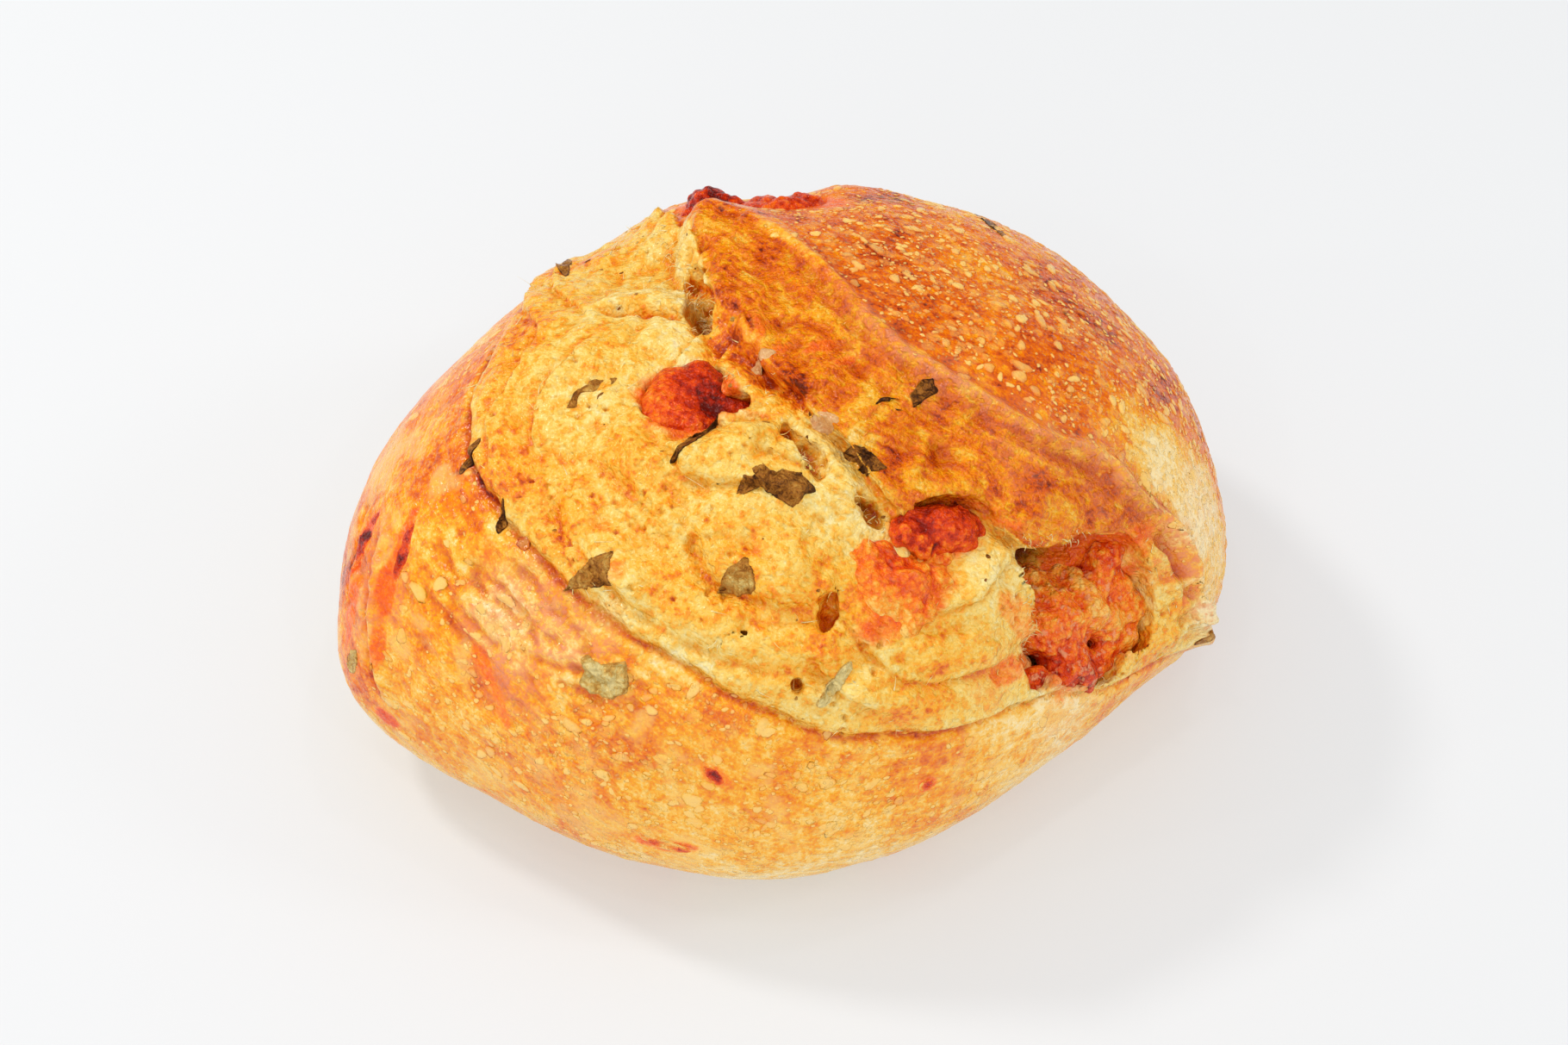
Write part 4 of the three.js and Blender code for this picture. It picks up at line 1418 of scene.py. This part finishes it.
cheese_mass("cheese_in_pocket", [
    ((-30, -25, 106), 4.0, 3.2, 0.44), ((-29, -31, 105), 3.8, 3.2, 0.44),
    ((-27, -18, 107), 4.4, 4.0, 0.54), ((-24, -30, 106), 4.6, 5.0, 0.76),
    ((-23, -22, 107), 4.5, 6.2, 0.88), ((-18, -19, 108), 4.2, 6.6, 0.88),
    ((-17, -24, 107), 4.8, 8.2, 0.98), ((-12, -25, 107), 4, 8.6, 1.0), ((-20, -32, 106), 3.6, 5.2, 0.80),
    ((-8, -27, 108), 2.6, 6.6, 0.6), ((-21, -15, 108), 4.0, 5.4, 0.7)], 320, 1.4, 0.9, 0.0)
cheese_mass("cheese_under_ear", [
    ((30, -51, 93), 4, 3.4, 0.72), ((35, -50, 92.5), 4.6, 3.6, 0.84), ((40, -49, 91), 4.6, 3.8, 0.80),
    ((45, -48, 88), 3.6, 4.2, 0.70), ((27, -54, 92), 2.8, 2.2, 0.60), ((37, -54, 90), 3.4, 2.0, 0.66),
    ((30, -55, 91), 2.8, 1.6, 0.56), ((33, -57.5, 89.5), 2.8, 2.2, 0.5), ((42, -52, 88), 2.6, 2.4, 0.6)],
    340, 1.2, 1.5, 0.0)
cheese_mass("cheese_back_knob", [
    ((-24, 54, 97), 3.6, 2, 0.80), ((-21, 56, 97), 4.0, -0.2, 0.92), ((-17, 57, 97), 4.0, -0.6, 0.98),
    ((-22, 60, 95), 4, 2, 0.80), ((-13, 56, 98), 3.2, 2.4, 0.8), ((-18, 52, 99), 3, 2.6, 0.60)],
    360, 1.0, 1.7, 0.0)
cheese_mass("cheese_back_mass", [
    ((-9, 52, 100), 4.6, 3.6, 0.62), ((-3, 51, 101), 5, 2.6, 0.58), ((3, 52, 100), 5, 2.6, 0.64),
    ((8, 53, 100), 4.6, 3.2, 0.66), ((3, 58, 97), 5, 3, 0.7), ((-6, 57, 98), 4.6, 3, 0.66)],
    380, 1.4, 1.3, 0.2)
cheese_mass("cheese_fan", [
    ((17, -61, 92), 4.0, 3.4, 0.36), ((22, -61, 91.5), 4.5, 3.9, 0.46), ((28, -60.5, 90), 4.5, 3.9, 0.50),
    ((34, -59, 88), 4.0, 3.4, 0.42), ((39, -57, 86), 3.4, 3.0, 0.34), ((19, -66, 89), 4.4, 3.8, 0.30),
    ((25, -66, 87.5), 5.0, 4.2, 0.42), ((31, -65, 86), 4.6, 3.9, 0.38), ((36, -62, 84), 3.6, 3.2, 0.28),
    ((22, -70, 84), 4.0, 3.5, 0.20), ((28, -70, 82.5), 4.2, 3.7, 0.22), ((33, -67, 81), 3.6, 3.2, 0.16),
    ((27, -73, 79.5), 3.0, 2.9, 0.10)], 400, 1.3, 1.2, 0.15, True, 0.5)

FRONT_SPOT = (
    (-4, 3.6), (-1, 3.0), (1.8, 0.4), (3.0, -1.6), (3.4, -3.8), (0.4, -3.2), (-1.6, -1.2), (-3.2, 0.8))
# Cheese in the skin: node, place, turn, outline, tone, seed, height, bumps, rings, sectors, raggedness.
CHEESE_PATCHES = (
    ("cheese_left_band", (-90, -42, 74), -63, oval(17, 4.2), 0.84, 420, 0.25, 0.4, 16, 70, 0.10),
    ("cheese_left_end", (-101, -30, 66), -78, oval(22, 5.4), 0.78, 440, 0.25, 0.4, 16, 70, 0.10),
    ("cheese_front_spot", (-16, -94, 55), 0, FRONT_SPOT, 0.44, 460, 0.2, 0.3, 12, 48, 0.06),
    ("cheese_low_spot", (33, -86, 42), 0, oval(4.6, 3.6), 0.42, 480, 0.2, 0.3, 12, 40, 0.06),
    ("cheese_low_strip", (-28, -96, 32), -12, oval(16, 4.4), 0.34, 500, 0.2, 0.3, 14, 60, 0.03),
)
for patch in CHEESE_PATCHES:
    cheese_patch(*patch)

# Pepper: place, turn, tone and the corners of its outline.
PEPPERS = {
    "pepper_wedge": ((-42, -61, 87), None, 0.44, [
        (-7.4, -4.2), (-5.5, -1.8), (-2.6, 1.2), (0.5, 3.6), (2.6, 4.6), (5.6, 4.9), (6.1, 1.5),
        (6.3, -2.4), (2.0, -2.9), (-2.5, -3.6)]),
    "pepper_cube": ((-40, -78, 71), None, 0.84, [
        (-5.5, 4.0), (-4.0, 4.4), (0.0, 3.9), (4.6, 4.2), (5.6, 1.0), (5.4, -3.0), (3.6, -4.4),
        (-1.0, -4.2), (-4.0, -4.6), (-5.4, -1.5)]),
    "pepper_tooth": ((-10, -67, 92), None, 0.50, [
        (-5.0, -3.6), (-3.2, 1.0), (-0.5, 3.2), (1.8, 5.0), (3.2, 3.0), (3.9, -1.0), (3.4, -3.4),
        (0.4, -4.6), (-2.6, -4.2)]),
    "pepper_flake": ((-44, -21, 104), None, 0.44, [
        (-5.2, -3.4), (-3.8, -0.4), (-1.2, 2.2), (1.4, 4.2), (4.7, 4.6), (4.2, 2.0), (3.2, 0.4),
        (1.6, -2.4), (-0.9, -4.4), (-3.0, -3.6)]),
    "pepper_pocket_strip": ((-20, -37, 104), None, 0.20, [
        (-4.8, -6.6), (-2.2, -5.4), (0.6, -2.6), (2.2, 0.0), (3.8, 3.4), (5.0, 7.4), (3.2, 6.4),
        (1.4, 3.6), (-0.4, 1.0), (-1.6, -1.6), (-3.2, -4.6)]),
    "pepper_leaf": ((-3, -48, 102), None, 0.30, [
        (-9.9, -4.2), (-7.5, -1.0), (-4.6, 3.2), (-2.5, 6.0), (0.0, 2.4), (1.8, 2.3), (5.3, 5.5),
        (7.8, 3.7), (8.1, 0.5), (9.9, -1.9), (5.3, -6.0), (0.4, -3.2), (-3.2, -0.5), (-6.0, -3.2)]),
    "pepper_rim_strip": ((-72, -29, 92), -70, 0.18, oval(11, 2.6)),
    "pepper_rim_chip": ((-64, -45, 89), -60, 0.20, oval(8, 2.4)),
    "pepper_curl": ((27, -25, 105), -14, 0.16, [
        (-8.0, 1.6), (-6.0, 2.4), (-3.6, -0.4), (0.0, -0.6), (3.4, 0.6), (5.0, 2.8), (7.4, 1.6),
        (7.0, -1.6), (3.6, -1.8), (0.0, -2.6), (-4.0, -2.4), (-6.6, -0.6)]),
    "pepper_scrap": ((18, -41, 102), -50, 0.26, [
        (-5.0, 1.0), (-2.4, 2.6), (1.0, 2.0), (5.2, 1.2), (3.6, -0.8), (1.6, -2.4), (-2.4, -1.6)]),
    "pepper_stalk": ((11, -82, 74), 45, 0.96, [
        (-5.6, -0.6), (-5.2, 0.9), (0.0, 1.3), (4.6, 1.6), (5.6, 0.6), (5.4, -1.0), (0.0, -1.3),
        (-4.6, -1.1)]),
    "pepper_back_strip": ((-53, 42, 88), 48, 0.30, oval(20, 3.0)),
    "pepper_crust_strip": ((52, 57, 90), -35, 0.20, oval(24, 3.4)),
    "pepper_right_end": ((100, -26, 31), 20, 0.52, oval(8, 3.6)),
    "pepper_left_end": ((-103, -47, 42), 80, 0.66, oval(8, 4.6)),
}
# Pepper that dough has partly closed over.
COVERED = ("pepper_leaf", "pepper_flake", "pepper_scrap", "pepper_curl", "pepper_tooth")
# Pepper that lies flat in the skin.
FLAT = (
    "pepper_back_strip", "pepper_crust_strip", "pepper_right_end", "pepper_left_end", "pepper_rim_strip",
    "pepper_rim_chip")


def pepper_piece(node, seed):
    place, turn, tone, corners = PEPPERS[node]
    covered = 1.3 if node in COVERED else 0.0

    def top(points, edge):
        crumpled = 1.1 * rough(points, 3.4, seed, 3)
        curled = 1.0 * smooth_step(edge, 0.5, 0.9) * (0.3 + noise(points, 5, seed + 3))
        sunk = covered * smooth_step(noise(points, 4.5, seed + 9), -0.04, 0.30)
        height = np.maximum(0.2 + crumpled + curled, 0.20) * smooth_step(edge, 1.0, 0.92)
        return height * (0.35 if node in FLAT else 1.0) - sunk - 0.4 * (edge > 0.99)

    vertices, faces, hidden, edge = laid_patch(place, turn, corners, top, 1.0, 22, 110, 0.09, seed)
    shade = tone + 0.04 + 0.34 * rough(vertices, 3.0, seed + 7, 3)
    return piece(node, node, "pepper", PEPPER_LOOK, vertices, faces, hidden, tone=shade, edge=edge)


for number, node in enumerate(PEPPERS):
    pepper_piece(node, 600 + 20 * number)


# ---------- blisters ----------

def scatter(weights, count, seed):
    """Random places on the loaf, more of them where the vertices' weights are high.

    Returns the places, the normals there, and one vertex of the triangle each place is on.
    """
    random = np.random.default_rng(seed)
    corners = read(loaf.data.polygons, "vertices", 3, np.int32)
    a, b, c = (LOAF_POINTS[corners[:, n]] for n in range(3))
    area = length(np.cross(b - a, c - a)) * weights[corners].mean(1)
    chosen = random.choice(len(corners), count, p=area / area.sum())
    u, v = random.random((2, count, 1))
    u, v = np.where(u + v > 1, 1 - u, u), np.where(u + v > 1, 1 - v, v)
    places = a[chosen] * (1 - u - v) + b[chosen] * u + c[chosen] * v
    normals = LOAF_NORMALS[corners[chosen]].sum(1)
    return places, unit(normals), corners[chosen, 0]


def settle(points, normals):
    """Points moved along their normals onto the loaf's surface."""
    settled = points.reshape(-1, 3).copy()
    for number, (point, normal) in enumerate(zip(settled, normals.reshape(-1, 3))):
        hit, _, _, _ = LOAF_TREE.ray_cast(tuple((point + normal * 1.5) * MM), tuple(-normal), 4 * MM)
        if hit is not None:
            settled[number] = np.array(hit) / MM
    return settled.reshape(points.shape)


def studs(places, normals, radius, swell, profile, sectors, random):
    """Low closed bumps with uneven outlines: vertices, triangles, which lie below, and values.

    profile has a share of the radius, a share of the swell and the value to give, for each ring.
    """
    count = len(places)
    first = unit(np.cross((0, 0, 1.2) + random.normal(0, 0.5, (count, 3)), normals))
    second = np.cross(normals, first)
    angles = full_turn(sectors)
    longer = random.uniform(1.0, 1.9, (count, 1))
    bend = random.uniform(0, 2 * np.pi, (2, count, 1))
    uneven = 1 + 0.18 * np.sin(2 * angles + bend[0]) + 0.12 * np.sin(3 * angles + bend[1])
    outline = radius[:, None] * uneven
    along, across = outline * np.cos(angles) * longer, outline * np.sin(angles)
    layers, fills = [(places + normals * swell[:, None])[:, None]], [np.ones((count, 1))]
    for share, rise, fill in profile:
        away = along[..., None] * first[:, None] + across[..., None] * second[:, None]
        ring = places[:, None] + share * away
        ring = settle(ring, np.broadcast_to(normals[:, None], ring.shape))
        layers.append(ring + (normals * (swell * rise)[:, None])[:, None])
        fills.append(np.full((count, sectors), fill))
    layers.append((places - normals * 0.5)[:, None])
    fills.append(np.zeros((count, 1)))
    vertices = np.concatenate(layers, 1)
    faces = repeated(ring_triangles(len(profile), sectors), count, vertices.shape[1])
    return vertices.reshape(-1, 3), faces, last_of_each(faces, sectors, count), np.concatenate(fills, 1)


# Profiles of blisters, ring by ring: share of the radius, share of the height, and how pale.
LARGE_BLISTER = ((0.5, 0.85, 1.0), (0.84, 0.36, 0.7), (1.1, -0.06, 0.0))
FINE_BLISTER = ((0.6, 0.70, 1.0), (1.1, -0.06, 0.0))
# Blisters: name, count, middle and spread of the radius's logarithm, profile, sectors and seed.
BLISTERS = (
    ("crust_blisters", 1700, -0.18, 0.40, LARGE_BLISTER, 10, 700),
    ("crust_fine_blisters", 4400, -0.80, 0.26, FINE_BLISTER, 7, 720),
)


def make_blisters(name, count, middling, spread, profile, sectors, seed):
    """Small pale bubbles in the baked skin, as the row of the table says."""
    random = np.random.default_rng(seed)
    flap, blistered = loaf_skin["flap"], loaf_skin["blistered"]
    thick = smooth_step(rough(LOAF_POINTS, 22, 711, 2), -0.6, 0.3)
    crowded = flap * (0.25 + 0.75 * thick) * smooth_step(near(LOAF_POINTS, ear_crest, 60)[1], 1, 14)
    weights = blistered * (crowded + 0.50 * (1 - flap) * thick ** 2)
    weights *= smooth_step(LOAF_POINTS[:, 2], 10, 24)
    places, normals, owners = scatter(weights, count, seed + 1)
    radius = np.exp(random.normal(middling, spread, count)).clip(0.28, 1.7)
    swell = 0.26 * radius ** 0.6 * (0.5 + 0.5 * flap[owners])
    vertices, faces, hidden, fills = studs(places, normals, radius, swell, profile, sectors, random)
    fills = fills * random.uniform(0.4, 0.95, (count, 1))
    values = {key: np.repeat(skin[owners], fills.shape[1], axis=0) for key, skin in loaf_skin.items()}
    values["blister"] = np.maximum(fills.ravel(), values["blister"])
    piece(name, None, "crust", LOAF_LOOK, vertices, faces, hidden, **values)


# ---------- strands and scraps ----------

# Torn edges that strands of crumb stand out from: points, how many, which way they point, reach.
TORN_EDGES = (
    (((-30, 44, 99), (-25, 26, 105), (-21, 10, 108), (-17, 2, 109)), 120, (-1.0, -0.5, -0.2), 5.0),
    (((-25, 22, 106), (-21, 8, 108), (-22, -2, 109)), 50, (1.0, -0.2, 0.3), 3.5),
    (((52, -48, 84), (57, -46, 82), (63, -43, 80), (69, -40, 78)), 60, (0.1, -0.7, -0.9), 2.4),
    (((54, -52, 79), (56, -56, 72), (59, -60, 64), (60, -62, 58)), 110, (1.0, 0.1, 0.0), 2.6),
    (((57, -64, 53), (66, -61, 45), (74, -56, 41), (82, -48, 37)), 80, (0.2, 0.3, 1.0), 2.0),
    (((86, -33, 66), (89, -33, 60), (92, -34, 51), (91, -37, 43)), 60, (-1.0, -0.2, 0.2), 2.0),
    (((1, -34, 107), (5, -40, 105), (11, -47, 101)), 40, (0.8, 0.3, 0.0), 3.0),
    (((15, -48, 99), (21, -53, 96), (26, -56, 93)), 40, (0.6, 0.6, 0.2), 3.0),
    (((-14, -18, 109), (-7, -21, 109), (-4, -26, 108)), 30, (-0.8, -0.6, 0.0), 2.6),
    (((-44, 11, 103), (-36, 9, 106), (-28, 8, 108)), 40, (0.0, -1.0, -0.1), 3.0),
)
# Strands that lie over the bloom.
LYING_STRANDS = 260


def tubes(middles, radius, sides):
    """Closed tubes through rows of points, with a radius for each ring."""
    count, rings = middles.shape[:2]
    run = np.gradient(middles, axis=1)
    run /= length(run)[..., None] + TINY
    side = np.cross(run, (0.31, 0.52, 0.79))
    side /= length(side)[..., None] + TINY
    other = np.cross(run, side)
    angles = full_turn(sides)
    ring = (np.cos(angles)[:, None] * side[:, :, None] + np.sin(angles)[:, None] * other[:, :, None])
    walls = (middles[:, :, None] + ring * radius[:, :, None, None]).reshape(count, -1, 3)
    vertices = np.concatenate([middles[:, :1], walls, middles[:, -1:]], 1)
    faces = repeated(ring_triangles(rings, sides)[:, ::-1], count, vertices.shape[1])
    return vertices.reshape(-1, 3), faces


def make_strands():
    """Thin strands of torn crumb that stand out from the edges of the tears or lie over the bloom."""
    random = np.random.default_rng(800)
    starts, ways, reaches = [], [], []
    for points, count, way, reach in TORN_EDGES:
        line = surface_line(*points)
        spots = line[random.integers(0, len(line), count)] + random.normal(0, 1.2, (count, 3))
        starts.append(spots)
        ways.append(np.array(way) + random.normal(0, 1.0, (count, 3)))
        reaches.append(random.uniform(0.25, 0.75, count) * reach)
    crumb = loaf_skin["crumb"] * (1 - loaf_skin["band"]) * smooth_step(LOAF_POINTS[:, 2], 45, 60)
    spots, _, _ = scatter(crumb, LYING_STRANDS, 801)
    starts.append(spots)
    ways.append(random.normal(0, 1.0, (LYING_STRANDS, 3)))
    reaches.append(random.uniform(1.5, 4.5, LYING_STRANDS))
    starts, ways, reaches = np.vstack(starts), np.vstack(ways), np.concatenate(reaches)
    outward = unit(starts - CENTRE)
    landed = np.vstack([drop(starts[n:n + 1], outward[n], 8.0, 20.0) for n in range(len(starts))])
    ways = unit(ways - outward * dot(ways, outward)[:, None] * 0.7)
    share = np.linspace(0, 1, 6)[None, :, None]
    loose = np.where(np.arange(len(starts)) < len(starts) - LYING_STRANDS, 0.30, 0.05)[:, None, None]
    curl = random.normal(0, 0.34, (len(starts), 1, 3))
    middles = landed[:, None] - 0.3 * outward[:, None] + reaches[:, None, None] * (
        ways[:, None] * share + curl * share ** 2 + loose * outward[:, None] * np.sin(2.4 * share))
    thick = random.uniform(0.08, 0.26, (len(starts), 1)) ** 1.2 * (1.2 - share[..., 0])
    vertices, faces = tubes(middles, thick, 4)
    each = np.ones(len(vertices))
    piece("crumb_strands", None, "crust", LOAF_LOOK, vertices, faces, crumb=each, toast=0.16 * each,
          band=0 * each, blush=0 * each, stain=0 * each, shade=0 * each)


# Scraps like onion in the surface: name, place, turn, length and width.
SCRAPS = (
    ("onion_by_torn_end", (-5, -16, 109), 20, 7, 4),
    ("onion_over_crevice", (9, -32, 106), -30, 7, 4),
    ("onion_by_fan", (23, -58, 92), -35, 6, 3.4),
    ("onion_in_opening", (64, -46, 76), 10, 5, 2.4),
)


def make_onion(look, name, place, turn, long, wide, seed):
    """A pale, glassy scrap."""
    def top(points, edge):
        return 0.35 * (1 - edge ** 2) + 0.35 * rough(points, 3, seed, 2) - 0.3 * (edge > 0.99)

    vertices, faces, hidden, _ = laid_patch(place, turn, oval(long, wide), top, 0.8, 12, 44, 0.08, seed)
    piece(name, None, "pepper", look, vertices, faces, hidden)


FLECKS = 44
FLECK_PROFILE = ((0.6, 0.8, 0.6), (1.0, -0.4, 1.0))


def make_flecks():
    """Dark flecks of pepper skin in the crumb."""
    random = np.random.default_rng(950)
    crumb = loaf_skin["crumb"] * smooth_step(LOAF_POINTS[:, 2], 50, 62)
    places, normals, _ = scatter(crumb, FLECKS, 951)
    radius = np.exp(random.normal(-0.95, 0.4, FLECKS)).clip(0.25, 0.9)
    vertices, faces, hidden, fills = studs(
        places, normals, radius, 0.3 * radius, FLECK_PROFILE, 8, random)
    tone = np.repeat(random.uniform(0.2, 0.7, FLECKS), fills.shape[1])
    piece("pepper_flecks", None, "pepper", PEPPER_LOOK, vertices, faces, hidden, tone=tone, edge=0 * tone)


for row in BLISTERS:
    make_blisters(*row)
make_strands()
ONION_LOOK = onion_look()
for number, scrap in enumerate(SCRAPS):
    make_onion(ONION_LOOK, *scrap, 900 + number)
make_flecks()


# ---------- floor ----------

FLOOR_HALF_SIDE = 1500
FLOOR_LOOK = {
    "Base Color": (0.44, 0.45, 0.46, 1), "Emission Color": (*WHITE, 1), "Emission Strength": 0.37,
    "Roughness": 0.7, "Specular IOR Level": 0.1}


def make_floor():
    """A pale floor that glows a little, so that the loaf's shadow on it stays faint."""
    corners = FLOOR_HALF_SIDE * np.array([(-1, -1, 0), (1, -1, 0), (1, 1, 0), (-1, 1, 0)])
    floor = mesh_object("floor", corners, [(0, 1, 2, 3)])
    material = bpy.data.materials.new("floor")
    material.use_nodes = True
    for socket, value in FLOOR_LOOK.items():
        material.node_tree.nodes["Principled BSDF"].inputs[socket].default_value = value
    floor.data.materials.append(material)


make_floor()
